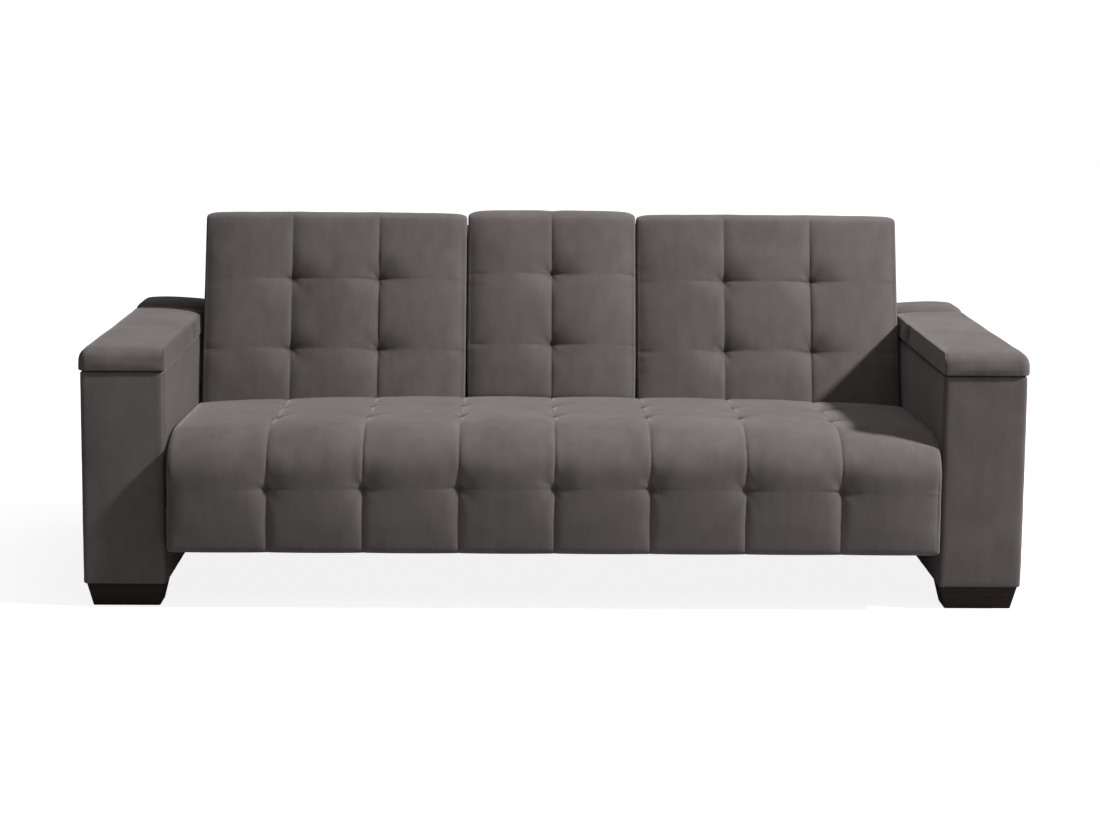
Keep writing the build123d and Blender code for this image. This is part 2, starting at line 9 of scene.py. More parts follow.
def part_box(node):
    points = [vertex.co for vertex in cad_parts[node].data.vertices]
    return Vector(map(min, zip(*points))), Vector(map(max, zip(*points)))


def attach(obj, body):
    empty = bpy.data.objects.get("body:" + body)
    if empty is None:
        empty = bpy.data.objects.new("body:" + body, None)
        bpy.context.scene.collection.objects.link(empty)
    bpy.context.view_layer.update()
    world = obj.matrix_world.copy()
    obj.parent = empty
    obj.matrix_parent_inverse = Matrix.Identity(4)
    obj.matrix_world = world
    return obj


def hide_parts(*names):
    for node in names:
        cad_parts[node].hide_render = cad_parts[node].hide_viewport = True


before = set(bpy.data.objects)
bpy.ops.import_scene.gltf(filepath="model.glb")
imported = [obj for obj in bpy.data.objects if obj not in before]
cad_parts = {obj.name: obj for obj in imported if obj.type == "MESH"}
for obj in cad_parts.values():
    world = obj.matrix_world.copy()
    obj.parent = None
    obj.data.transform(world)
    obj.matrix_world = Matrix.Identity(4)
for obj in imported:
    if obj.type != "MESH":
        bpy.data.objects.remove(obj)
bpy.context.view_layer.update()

# Feet: four tapered blocks of dark stained hardwood, two under each arm, each held by one bolt from
# inside the arm box. Their edges are eased with a sanding block before the stain and the satin lacquer.
foot_taper = 0.013
foot_corner = 0.005
foot_ease = 0.0015
stain_dark = (0.012, 0.0085, 0.0072, 1)
stain_light = (0.034, 0.024, 0.020, 1)
grain_scale = 55.0
grain_run = 0.06
pore_scale = 700.0


def plug(tree, socket, value):
    """Give a socket a value, or link another node's output to it."""
    if isinstance(value, bpy.types.NodeSocket):
        tree.links.new(value, socket)
    else:
        socket.default_value = value


def feed(tree, node, **sockets):
    """Fill some of a node's inputs; their names have underscores for spaces."""
    for socket_name, value in sockets.items():
        plug(tree, node.inputs[socket_name.replace("_", " ")], value)


def add_node(tree, kind, settings=None, **sockets):
    """One shader node: settings are its own fields, and sockets are its inputs."""
    made = tree.nodes.new(kind)
    for field, value in (settings or {}).items():
        setattr(made, field, value)
    feed(tree, made, **sockets)
    return made


def maths(tree, operation, *values):
    """One sum on shader values."""
    made = add_node(tree, "ShaderNodeMath", {"operation": operation})
    for socket, value in zip(made.inputs, values):
        plug(tree, socket, value)
    return made.outputs[0]


def blank_material(name):
    """A new material, with its node tree and its main shader."""
    material = bpy.data.materials.new(name)
    material.use_nodes = True
    return material, material.node_tree, material.node_tree.nodes["Principled BSDF"]


def placed_coordinates(tree, stretch=(1, 1, 1), turn=(0, 0, 0)):
    """The piece's own coordinates, stretched and turned."""
    coordinates = tree.nodes.new("ShaderNodeTexCoord")
    return add_node(tree, "ShaderNodeMapping", Vector=coordinates.outputs["Object"], Scale=stretch,
                    Rotation=turn).outputs["Vector"]


def random_pattern(tree, vector, scale, detail=2.0, distortion=0.0):
    """Soft random blotches."""
    return add_node(tree, "ShaderNodeTexNoise", Vector=vector, Scale=scale, Detail=detail,
                    Distortion=distortion).outputs["Fac"]


def relief(tree, height, strength, distance):
    """The fine relief of a finish."""
    return add_node(tree, "ShaderNodeBump", Height=height, Strength=strength,
                    Distance=distance).outputs["Normal"]


def two_tone(tree, factor, dark, light, low=0.3, high=0.7):
    """A ramp from a dark to a light colour."""
    ramp = add_node(tree, "ShaderNodeValToRGB", Fac=factor)
    for stop, place, colour in zip(ramp.color_ramp.elements, (low, high), (dark, light)):
        stop.position = place
        stop.color = colour
    return ramp.outputs["Color"]


def wood(name, dark, light, along, roughness, gloss, turn=(0, 0, 0)):
    """Straight-grained wood: long streaks along one axis, with pores as fine dark dashes."""
    material, tree, shader = blank_material(name)
    stretch = tuple(grain_run if axis == along else 1.0 for axis in range(3))
    vector = placed_coordinates(tree, stretch, turn)
    streaks = random_pattern(tree, vector, grain_scale, 5.0, 0.6)
    pores = random_pattern(tree, vector, pore_scale)
    tone = maths(tree, "MULTIPLY_ADD", pores, 0.3, maths(tree, "MULTIPLY", streaks, 0.7))
    feed(tree, shader, Base_Color=two_tone(tree, tone, dark, light), Specular_IOR_Level=gloss,
         Roughness=maths(tree, "MULTIPLY_ADD", streaks, 0.15, roughness),
         Normal=relief(tree, tone, 0.25, 0.0006))
    return material


def crate(low, high):
    """A plain box between two corners, ready to be cut and shaped."""
    mesh = bmesh.new()
    low, high = Vector(low), Vector(high)
    bmesh.ops.create_cube(mesh, size=1.0)
    bmesh.ops.scale(mesh, vec=high - low, verts=mesh.verts)
    bmesh.ops.translate(mesh, vec=(high + low) / 2, verts=mesh.verts)
    return mesh


def climb(edge):
    """How far an edge rises."""
    return abs(edge.verts[0].co.z - edge.verts[1].co.z)


def bend(edge):
    """How sharply two faces meet at an edge, in degrees."""
    return math.degrees(edge.calc_face_angle(0))


def round_edges(mesh, edges, radius, segments):
    """Bevel some edges to a quarter round."""
    bmesh.ops.bevel(mesh, geom=edges, offset=radius, offset_type="OFFSET", segments=segments,
                    profile=0.5, affect="EDGES", material=-1, clamp_overlap=True)


def mesh_data(name, mesh):
    """A finished shape as mesh data, with its faces turned outwards."""
    data = bpy.data.meshes.new(name)
    bmesh.ops.recalc_face_normals(mesh, faces=mesh.faces)
    mesh.to_mesh(data)
    mesh.free()
    return data


def put_in_scene(name, data):
    """A new object at the origin."""
    made = bpy.data.objects.new(name, data)
    bpy.context.scene.collection.objects.link(made)
    return made


def piece(name, mesh, material, body, smooth=True):
    """Turn a bmesh into a named piece that moves with one body."""
    data = mesh_data(name, mesh)
    data.polygons.foreach_set("use_smooth", [smooth] * len(data.polygons))
    data.materials.append(material)
    made = put_in_scene(name, data)
    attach(made, body)
    return made


foot_wood = wood("dark_stained_hardwood", stain_dark, stain_light, 0, 0.48, 0.12)
for foot_node in ("left_front_foot", "left_rear_foot", "right_front_foot", "right_rear_foot"):
    foot_low, foot_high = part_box(foot_node)
    foot_middle = (foot_low + foot_high) / 2
    foot_size = foot_high - foot_low
    foot_mesh = crate(foot_low, foot_high)
    foot_bottom = [v for v in foot_mesh.verts if v.co.z < foot_middle.z]
    foot_shrink = (1 - 2 * foot_taper / foot_size.x, 1 - 2 * foot_taper / foot_size.y, 1)
    bmesh.ops.scale(foot_mesh, vec=foot_shrink, verts=foot_bottom, space=Matrix.Translation(-foot_middle))
    round_edges(foot_mesh, [e for e in foot_mesh.edges if climb(e) > foot_size.z / 2], foot_corner, 4)
    foot_rims = [e for e in foot_mesh.edges if climb(e) < foot_ease and bend(e) > 50]
    round_edges(foot_mesh, foot_rims, foot_ease, 2)
    foot_piece = piece(foot_node.replace("foot", "tapered_foot"), foot_mesh, foot_wood, "base",
                       smooth=False)
    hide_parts(foot_node)

# Bolts and pins: bright zinc-plated steel straight from the maker's box. The foot bolts and arm bolts
# hold the arms to their feet and to the base, and the pins carry the folding back.
zinc_dark = (0.38, 0.38, 0.37, 1)
zinc_light = (0.62, 0.62, 0.60, 1)


def dress(material, *node_names):
    """Give carried-over nodes a better material."""
    for node_name in node_names:
        for node_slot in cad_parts[node_name].material_slots:
            node_slot.material = material


def metal(name, dark, light, roughness, metallic, scale):
    """Plated or painted steel: a mottled finish with a slightly uneven gloss."""
    material, tree, shader = blank_material(name)
    vector = placed_coordinates(tree)
    spangle = add_node(tree, "ShaderNodeTexVoronoi", Vector=vector, Scale=scale).outputs["Distance"]
    smear = random_pattern(tree, vector, scale / 4, 4.0)
    tone = maths(tree, "MULTIPLY_ADD", spangle, 0.4, maths(tree, "MULTIPLY", smear, 0.7))
    feed(tree, shader, Base_Color=two_tone(tree, tone, dark, light), Metallic=metallic,
         Roughness=maths(tree, "MULTIPLY_ADD", smear, 0.2, roughness),
         Normal=relief(tree, smear, 0.1, 0.0004))
    return material


zinc_steel = metal("zinc_plated_steel", zinc_dark, zinc_light, 0.28, 1.0, 380.0)
dress(zinc_steel, "foot_bolts", "arm_bolts", "hinge_pins")

# Arm boxes: 15 mm plywood sides and ends on a bottom board, with a thinner floor for the storage bin.
# The faces show flat birch grain and the sawn edges show the glue lines between the plies.
ply_pitch = 0.0026
wave_length = 0.314
birch_dark = (0.36, 0.24, 0.135, 1)
birch_light = (0.55, 0.41, 0.26, 1)
glue_dark = (0.20, 0.125, 0.07, 1)
glue_strength = 0.8


def blended(tree, factor, under, over):
    """One colour laid over another as far as a factor says."""
    made = add_node(tree, "ShaderNodeMix", {"data_type": "RGBA"})
    for number, value in ((0, factor), (6, under), (7, over)):
        plug(tree, made.inputs[number], value)
    return made.outputs[2]


def coloured_over(material, factor, colour):
    """Lay another colour over a material's own."""
    tree = material.node_tree
    shader = tree.nodes["Principled BSDF"]
    own_colour = shader.inputs["Base Color"].links[0].from_socket
    feed(tree, shader, Base_Color=blended(tree, factor, own_colour, colour))
    return material


def plywood(name, through, turn=(0, 0, 0)):
    """Plywood whose thickness runs along one axis, which shows its plies on the edges."""
    material = wood(name, birch_dark, birch_light, 1 if through == 0 else 0, 0.55, 0.3, turn)
    tree = material.node_tree
    plies = add_node(tree, "ShaderNodeTexWave", {"bands_direction": "XYZ"[through]},
                     Vector=placed_coordinates(tree, turn=turn), Scale=wave_length / ply_pitch,
                     Distortion=0.4).outputs["Fac"]
    coordinates = tree.nodes.new("ShaderNodeTexCoord")
    turned = add_node(tree, "ShaderNodeMapping", {"vector_type": "NORMAL"},
                      Vector=coordinates.outputs["Normal"], Rotation=turn)
    facing = add_node(tree, "ShaderNodeSeparateXYZ", Vector=turned.outputs["Vector"]).outputs[through]
    on_edge = maths(tree, "LESS_THAN", maths(tree, "ABSOLUTE", facing), 0.5)
    glue = maths(tree, "MULTIPLY", maths(tree, "MULTIPLY", plies, on_edge), glue_strength)
    return coloured_over(material, glue, glue_dark)


ply_across = plywood("birch_plywood_side", 0)
ply_deep = plywood("birch_plywood_end", 1)
ply_flat = plywood("birch_plywood_floor", 2)
for side in ("left", "right"):
    dress(ply_across, f"{side}_arm_outer_panel", f"{side}_arm_inner_panel")
    dress(ply_deep, f"{side}_arm_front_panel", f"{side}_arm_rear_panel", f"{side}_bin_divider")
    dress(ply_flat, f"{side}_arm_bottom_board", f"{side}_bin_floor", f"{side}_lid_board")

# Base timbers: planed pine, a rail and a beam across with three boards between them, and seven slats
# that carry the seat's foam. They are glued and screwed, and the seat's suede wraps the rail and the beam.
pine_dark = (0.47, 0.29, 0.14, 1)
pine_light = (0.68, 0.49, 0.28, 1)
wrap_dark = (0.05, 0.044, 0.0435, 1)
wrap_light = (0.095, 0.084, 0.083, 1)
wrap_scale = 900.0
rail_wrap = (0.0, 0.905)


def pine(name, along, turn=(0, 0, 0)):
    """Bare planed pine with its grain along one axis."""
    return wood(name, pine_dark, pine_light, along, 0.6, 0.3, turn)


def cloth_wrapped(material, axes, turned_in=None):
    """Show wrapped cloth instead of bare wood on the faces square to some axes, and all round where the
    cloth is turned in: nearer the middle of the sofa than one place, or further out than another."""
    tree = material.node_tree
    coordinates = tree.nodes.new("ShaderNodeTexCoord")
    facing = add_node(tree, "ShaderNodeSeparateXYZ", Vector=coordinates.outputs["Normal"])
    tests = [("GREATER_THAN", maths(tree, "ABSOLUTE", facing.outputs[axis]), 0.5) for axis in axes]
    if turned_in is not None:
        places = add_node(tree, "ShaderNodeSeparateXYZ", Vector=coordinates.outputs["Object"])
        out = maths(tree, "ABSOLUTE", places.outputs[0])
        tests += [("LESS_THAN", out, turned_in[0]), ("GREATER_THAN", out, turned_in[1])]
    wrapped = 0.0
    for test in tests:
        wrapped = maths(tree, "MAXIMUM", wrapped, maths(tree, *test))
    fibre = random_pattern(tree, coordinates.outputs["Object"], wrap_scale)
    return coloured_over(material, wrapped, two_tone(tree, fibre, wrap_dark, wrap_light))


dress(cloth_wrapped(pine("pine_rail_with_wrapped_front", 0), (1,), rail_wrap), "front_rail")
dress(cloth_wrapped(pine("pine_beam_with_wrapped_rear", 0), (1, 2)), "rear_beam")
dress(pine("planed_pine_rail", 0), "seat_slats")
dress(pine("planed_pine_board", 1), "left_seat_board", "right_seat_board", "centre_seat_board")

# Black fittings: the centre leg, the click-clack hinge plates, the console's plates and brackets and the
# long leaves of the lid hinges are pressed steel with a satin black powder coat.
coat_dark = (0.012, 0.012, 0.013, 1)
coat_light = (0.03, 0.03, 0.032, 1)
black_steel = metal("black_powder_coat", coat_dark, coat_light, 0.38, 0.0, 900.0)
dress(black_steel, "centre_leg", "seat_hinge_plates", "back_hinge_plates", "console_side_plates",
      "console_brackets", "left_lid_hinge_fixed_leaf", "left_lid_hinge_lid_leaf",
      "right_lid_hinge_fixed_leaf", "right_lid_hinge_lid_leaf")

# Dust cover: thin black spun-bonded cloth stapled under the base. Its surface is a field of small
# welded dots.
spun_dark = (0.008, 0.008, 0.008, 1)
spun_light = (0.028, 0.028, 0.03, 1)
dust_cloth, dust_tree, dust_shader = blank_material("black_spun_bonded_cloth")
dots = add_node(dust_tree, "ShaderNodeTexVoronoi", Vector=placed_coordinates(dust_tree), Scale=420.0,
                Randomness=0.15).outputs["Distance"]
feed(dust_tree, dust_shader, Base_Color=two_tone(dust_tree, dots, spun_light, spun_dark), Roughness=0.9,
     Normal=relief(dust_tree, dots, 0.4, 0.0008))
dress(dust_cloth, "dust_cover")

# Arm covers: charcoal microfibre suede pulled tight over thin wadding and the plywood. Each is sewn
# down its front corners, turned in over the rim of the box and stapled underneath.
suede_dark = (0.078, 0.068, 0.067, 1)
suede_light = (0.150, 0.132, 0.130, 1)
suede_bloom = (0.82, 0.78, 0.76, 1)
# Painted shade: a dark colour laid over the inner sides of the arm covers and lid pads, and how strongly.
suede_against_nap = (0.028, 0.0245, 0.024, 1)
nap_strength = 0.62
cover_wall = 0.0042
cover_corner = 0.009
cover_rim = 0.0048
cover_return = 0.014
cover_lift = 0.0006
cover_puff = 0.0022
cover_ripple = 0.0014
cover_pucker = 0.0012
cover_draw = 0.0009
cover_draw_reach = (0.018, 0.014)
cover_seam_depth = 0.0014
cover_seam_reach = 0.0026
cover_seam_setback = 0.011
cover_seam_cuts = (-0.004, -0.002, 0.0, 0.002, 0.004, 0.009)
cover_seam_tug = (0.0009, 0.012)
cover_steps = (0.016, 0.022, 0.020)
touching = 0.001


def suede(name):
    """Microfibre suede: brushed patches, short streaks, fine fibre, painted shade in the creases, and
    painted shade that darkens the inner sides of the arms and lids."""
    material, tree, shader = blank_material(name)
    vector = placed_coordinates(tree)
    brushed = placed_coordinates(tree, (1.0, 1.0, 0.35))
    patches = random_pattern(tree, vector, 4.5, 3.0, 0.4)
    streaks = random_pattern(tree, brushed, 38.0, 4.0)
    fibre = random_pattern(tree, vector, 1100.0)
    # Two stored values per point: painted shade in the creases, and painted shade on the inner sides.
    crease, nap = (add_node(tree, "ShaderNodeAttribute", {"attribute_name": stored}).outputs["Fac"]
                   for stored in ("crease", "nap"))
    tone = maths(tree, "MULTIPLY_ADD", patches, 0.38, 0.085)
    # Painted shade: the tone darkens in the creases.
    for pattern, share in ((streaks, 0.25), (fibre, 0.2), (crease, -0.3)):
        tone = maths(tree, "MULTIPLY_ADD", pattern, share, tone)
    # Painted shade: the inner sides of the arms and lids are darkened towards a dark colour.
    colour = blended(tree, maths(tree, "MULTIPLY", nap, nap_strength),
                     two_tone(tree, tone, suede_dark, suede_light, 0.28, 0.72), suede_against_nap)
    weave = maths(tree, "MULTIPLY_ADD", streaks, 0.6, fibre)
    feed(tree, shader, Base_Color=colour, Normal=relief(tree, weave, 0.35, 0.0007), Roughness=0.92,
         Specular_IOR_Level=0.0, Sheen_Weight=0.25, Sheen_Roughness=0.42, Sheen_Tint=suede_bloom)
    return material


def cut(mesh, *places):
    """Slice a whole mesh at some places along x, then at others along y and along z."""
    for axis, along_axis in zip(Matrix.Identity(3), places):
        for place in along_axis:
            bmesh.ops.bisect_plane(mesh, geom=mesh.verts[:] + mesh.edges[:] + mesh.faces[:],
                                   dist=0.0006, plane_co=axis * place, plane_no=axis)


def even(low, high, step):
    """Evenly spaced places strictly between two ends."""
    count = max(1, round((high - low) / step))
    return [low + (high - low) * number / count for number in range(1, count)]


def crown(place, low, high, power=3):
    """How full a stuffed face is: nothing at its two ends and most of its height between them."""
    share = min(max((place - low) / (high - low), 0.0), 1.0)
    return 1 - abs(2 * share - 1) ** power


def fading(gap, depth, reach):
    """A depth that dies away with distance."""
    return depth * math.exp(-gap / reach)


def groove(gap, depth, reach):
    """A depth that is full along a line and gone a little way beside it."""
    return depth * math.exp(-((gap / reach) ** 2))


def wrinkle(x, y=0.0, z=0.0):
    """A random wrinkle, up or down by as much as 1; the place is counted in wrinkles."""
    return noise.noise(Vector((x, y, z)))


def mark(made, name, values):
    """Store one value at each point for the cloth's material: painted shade in a crease, or on an inner side.
    """
    attribute = made.data.attributes.new(name, "FLOAT", "POINT")
    attribute.data.foreach_set("value", values)


charcoal_suede = suede("charcoal_suede")
for side, inward_sign in (("left", 1), ("right", -1)):
    cover_low, cover_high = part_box(f"{side}_arm_cover")
    cover_high.z += cover_lift
    cover_mesh = crate(cover_low, cover_high)
    round_edges(cover_mesh, [e for e in cover_mesh.edges if climb(e) > 0.1], cover_corner, 4)
    cover_rims = [e for e in cover_mesh.edges if climb(e) < touching
                  and any(abs(f.normal.z) > 0.5 for f in e.link_faces)]
    round_edges(cover_mesh, cover_rims, cover_rim, 3)
    open_ends = [f for f in cover_mesh.faces if abs(f.normal.z) > 0.9 and f.calc_area() > 0.1]
    bmesh.ops.inset_individual(cover_mesh, faces=open_ends, thickness=cover_return, use_even_offset=True)
    bmesh.ops.delete(cover_mesh, geom=open_ends, context="FACES_ONLY")
    seam_line = cover_low.y + cover_seam_setback
    beside_seam = [seam_line + gap for gap in cover_seam_cuts]
    cut(cover_mesh, even(cover_low.x, cover_high.x, cover_steps[0]),
        beside_seam + even(cover_low.y + 0.030, cover_high.y, cover_steps[1]),
        even(cover_low.z, cover_high.z, cover_steps[2]) + [cover_high.z - 0.010])
    cover_mesh.normal_update()
    # Painted shade along the sewn seam, and painted shade on the arm's inner side.
    cover_creases = []
    cover_naps = []
    for v in cover_mesh.verts:
        full_x, full_y, full_z = map(crown, v.co, cover_low, cover_high)
        sideways = abs(v.normal.x)
        level = 1 - abs(v.normal.z)
        full = full_z * (full_y * sideways + full_x * (1 - sideways)) * level
        drawn = (fading(v.co.z - cover_low.z, level, cover_draw_reach[0])
                 + fading(cover_high.z - v.co.z, level, cover_draw_reach[1]))
        seam_gap = abs(v.co.y - seam_line)
        seam = groove(seam_gap, sideways, cover_seam_reach)
        tight = wrinkle(0.0, v.co.z * 55, v.co.x) * fading(seam_gap, *cover_seam_tug) * level
        cover_creases.append(seam)
        cover_naps.append(max(0.0, inward_sign * v.normal.x) ** 2)
        v.co += v.normal * ((cover_puff + cover_ripple * wrinkle(*(v.co * 9.0))) * full + tight
                            + (cover_pucker * wrinkle(v.co.x * 60, v.co.y * 60) - cover_draw) * drawn
                            - cover_seam_depth * seam)
    cover_piece = piece(f"{side}_arm_upholstery", cover_mesh, charcoal_suede, "base")
    mark(cover_piece, "crease", cover_creases)
    mark(cover_piece, "nap", cover_naps)
    wall = cover_piece.modifiers.new("wall", "SOLIDIFY")
    wall.thickness = cover_wall
    wall.offset = -1.0
    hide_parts(f"{side}_arm_cover")

# Seat: one long foam cushion on the slats, hooked over the front rail. Its suede is sewn in eight
# columns that run up the front and back to the hinge, and three rows of tufts pull it into pillows.
seat_low, seat_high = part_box("seat_cushion")
seat_front_y = -0.4675
seat_rear_y = seat_high.y
seat_top = 0.437
seat_half = 0.9095
seat_column = 0.225
seat_columns = [-seat_half] + [seat_column * number for number in range(-3, 4)] + [seat_half]
seat_rows = (0.158, 0.515, 0.685)
seat_nose_depth = 0.182
seat_nose_height = 0.112
seat_nose_rear = seat_front_y + seat_nose_depth
seat_nose_foot = seat_top - seat_nose_height
nose_steps = 60
seat_edge = 0.014
seat_end_edge = 0.010
seat_slat_top = 0.2524
seat_rail_face = -0.4332
seat_end_drop = 0.020
seat_rear_sink = 0.012
seat_pillow = (0.003, 0.004, 0.0015)
seat_seam_depth = 0.0022
seat_slack = 0.008
seat_swell_limit = 0.0035
fine_gaps = (0.0, 0.002, 0.005, 0.009, 0.014, 0.020, 0.028, 0.037, 0.047, 0.058, 0.070, 0.082, 0.095, 0.108)
fine_least = 0.0016
coarse_step = 0.010
stuffing_pressure = 4.0
stuffing_frames = 20
dimple_reach = 0.036
trough_reach = 0.035
trough_run = (0.55, 0.06)
tuft_grip = 0.013
seam_grip = 0.006
seam_hold = 0.62
# Each of these pairs is a depth, or a darkness of painted shade, and how far it reaches from its tuft, seam
# or hem.
tuft_pit = (0.0042, 0.013)
tuft_star = (0.0013, 0.028)
seam_stitch = (0.0008, 0.0018)
row_fold = (0.0024, 0.0055)
hem_fold = (0.0014, 0.0022)
fold_run = (1.0, 0.034)
end_fold_run = (0.5, 0.028)
end_gather = (0.0024, 0.018)
seam_gather = (0.0009, 0.012)
# Painted shade: how dark the tuft pits, seams, row folds and hems are painted, and how far it reaches.
tuft_painted_shade = (1.0, 0.009)
seam_painted_shade = (0.35, 0.0021)
row_painted_shade = (0.6, 0.0026)
hem_painted_shade = (0.4, 0.0022)
tuft_heart = 0.006
seam_reach = 0.0055
hem_setback = 0.008


def graded(lines, low, high):
    """Places for cuts that crowd together near sewn lines and spread out between them."""
    places = set()
    for line in lines:
        nearest = min([abs(line - other) for other in lines if other != line] + [1.0])
        for gap in fine_gaps:
            if gap <= nearest / 2 + 0.001:
                places.update((round(line - gap, 5), round(line + gap, 5)))
    kept = []
    for place in sorted(places):
        if low + 0.002 < place < high - 0.002 and (not kept or place - kept[-1] > fine_least):
            kept.append(place)
    return kept


def facing_out(normal):
    """How far a face looks forwards or upwards, which is where the quilting shows."""
    return min(1.0, math.hypot(min(normal.y, 0.0), max(normal.z, 0.0)) * (1 - abs(normal.x) ** 3))


def sewn_gaps(co, columns, rows, along):
    """How far a point is from the nearest inner seam and from the nearest row of tufts."""
    return min(abs(co.x - line) for line in columns[1:-1]), min(abs(along(co) - line) for line in rows)


def pillow_push(columns, rows, along, fullness, pull):
    """The broad shape of a tufted face: domes between the sewn columns and wide dimples at the tufts."""
    dome, dimple, row_dip = fullness

    def push(co, normal):
        column_gap, row_gap = sewn_gaps(co, columns, rows, along)
        left = max([line for line in columns if line <= co.x + 1e-6], default=columns[0])
        right = min([line for line in columns if line > co.x + 1e-6], default=columns[-1])
        filled = crown(co.x, left, right, 2) if right > left else 0.0
        dip = dimple * math.exp(-((math.hypot(column_gap, row_gap) / dimple_reach) ** 1.4))
        trough = groove(row_gap, row_dip, trough_reach) * (0.45 + fading(column_gap, *trough_run))
        return facing_out(normal) * pull(co) * (dome * filled - dip - trough)

    return push


def tuft_hold(columns, rows, along, border):
    """Where the cloth is held while the stuffing swells: at each tuft, along the seams and all round."""
    def hold(co, normal):
        column_gap, row_gap = sewn_gaps(co, columns, rows, along)
        if border(co, normal) or math.hypot(column_gap, row_gap) < tuft_grip:
            return 1.0
        return seam_hold if column_gap < seam_grip else 0.0

    return hold


def swell(coarse, push, hold, slack, limit):
    """Tuft a padded shape, let its stuffing fill it out, and note how far each point moved."""
    bmesh.ops.dissolve_degenerate(coarse, dist=touching, edges=coarse.edges)
    coarse.normal_update()
    coarse.verts.index_update()
    coarse.faces.ensure_lookup_table()
    rest = [v.co.copy() for v in coarse.verts]
    lookup = BVHTree.FromBMesh(coarse)
    corners = [[v.index for v in f.verts] for f in coarse.faces]
    held = [hold(v.co, v.normal) for v in coarse.verts]
    pushes = [v.normal * push(v.co, v.normal) for v in coarse.verts]
    for v, shift in zip(coarse.verts, pushes):
        v.co += shift
    tufted = [v.co.copy() for v in coarse.verts]
    blown = tufted
    data = bpy.data.meshes.new("stuffing")
    coarse.to_mesh(data)
    trial = put_in_scene("stuffing", data)
    group = trial.vertex_groups.new(name="held")
    for index, weight in enumerate(held):
        group.add([index], weight, "REPLACE")
    cloth = trial.modifiers.new("stuffing", "CLOTH")
    cloth.collision_settings.use_collision = False
    cloth.settings.vertex_group_mass = group.name
    cloth.settings.use_pressure = True
    cloth.settings.uniform_pressure_force = stuffing_pressure
    cloth.settings.shrink_min = -slack
    cloth.settings.effector_weights.gravity = 0.0
    for step in range(1, stuffing_frames + 1):
        bpy.context.scene.frame_set(step)
    shown = trial.evaluated_get(bpy.context.evaluated_depsgraph_get())
    blown = [v.co.copy() for v in shown.to_mesh().vertices]
    shown.to_mesh_clear()
    bpy.data.objects.remove(trial)
    bpy.data.meshes.remove(data)
    bpy.context.scene.frame_set(1)
    shifts = []
    for before, start, after in zip(rest, tufted, blown):
        moved = after - start
        if moved.length > limit:
            moved *= limit / moved.length
        shifts.append(start + moved - before)
    coarse.free()
    return lookup, corners, rest, shifts


def carry_over(fine, swollen, rounds=6):
    """Move a finer copy of a shape as its coarse twin moved, and tell how its points lay before."""
    lookup, corners, rest, shifts = swollen
    fine.normal_update()
    fine.verts.index_update()
    before = [(v.co.copy(), v.normal.copy()) for v in fine.verts]
    moves = []
    for v in fine.verts:
        place, _, face, _ = lookup.find_nearest(v.co)
        weights = poly_3d_calc([rest[index] for index in corners[face]], place)
        moves.append(sum((shifts[index] * weight for index, weight in zip(corners[face], weights)), Vector()))
    neighbours = [[e.other_vert(v).index for e in v.link_edges] for v in fine.verts]
    for _ in range(rounds):
        moves = [own * 0.5 + sum((moves[index] for index in near), Vector()) * (0.5 / len(near))
                 for own, near in zip(moves, neighbours)]
    for v, move in zip(fine.verts, moves):
        v.co += move
    return before


def sew(mesh, rests, columns, rows, along, pull, seam_depth):
    """Press in the stitched seams, the tufts with their short folds, and the tight cloth at the ends; give
    each point's painted shade.
    """
    mesh.normal_update()
    creases = []
    for v, (co, normal) in zip(mesh.verts, rests):
        facing = facing_out(normal) * pull(co)
        nearest = min(columns[1:-1], key=lambda line: abs(co.x - line))
        across = co.x - nearest
        up = min((along(co) - line for line in rows), key=abs)
        column_gap, row_gap = abs(across), abs(up)
        edge_gap = min(abs(co.x - columns[0]), abs(co.x - columns[-1]))
        hem_gap = edge_gap - hem_setback
        reach = math.hypot(column_gap, row_gap)
        near = fading(column_gap, *fold_run) + fading(edge_gap, *end_fold_run)
        star = fading(reach, *tuft_star) * math.cos(5 * math.atan2(up, across) + 40 * nearest)
        star *= 1 - fading(reach, 1, tuft_heart)
        sunk = (fading(reach, *tuft_pit) + star + fading(column_gap, seam_depth, seam_reach)
                + groove(column_gap, *seam_stitch) + near * fading(row_gap, *row_fold)
                + groove(hem_gap, *hem_fold))
        gathered = (wrinkle(columns[0], along(co) * 62) * fading(edge_gap, *end_gather)
                    + wrinkle(nearest, along(co) * 48, 3.0) * fading(column_gap, *seam_gather))
        v.co -= v.normal * facing * (sunk - gathered)
        # Painted shade in the seams, the tuft pits, the row folds and along the hems.
        creases.append(facing * min(1.0, groove(column_gap, *seam_painted_shade) + groove(reach, *tuft_painted_shade)
                                    + near * groove(row_gap, *row_painted_shade) + groove(hem_gap, *hem_painted_shade)))
    return creases


def suede_pad(name, mesh, body, node, fill, **marks):
    """A finished soft piece: what its material reads at each point, and one round of smoothing."""
    made = piece(name, mesh, charcoal_suede, body)
    for mark_name, values in marks.items():
        mark(made, mark_name, values)
    smooth = made.modifiers.new("smooth", "SUBSURF")
    smooth.levels = smooth.render_levels = 1
    if node is not None:
        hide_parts(node)


def long_edge(mesh, y, z):
    """The edge along the sofa at one place in the side view."""
    return [e for e in mesh.edges if abs(e.verts[0].co.x - e.verts[1].co.x) > 0.3 and all(
        abs(v.co.y - y) < touching and abs(v.co.z - z) < touching for v in e.verts)]


def split_faces(mesh, faces, place, across):
    """Cut some faces of a mesh along a plane, and leave the rest whole."""
    parts = {part for face in faces for part in (face, *face.edges, *face.verts)}
    bmesh.ops.bisect_plane(mesh, geom=list(parts), dist=0.0002, plane_co=place, plane_no=across)
    mesh.normal_update()


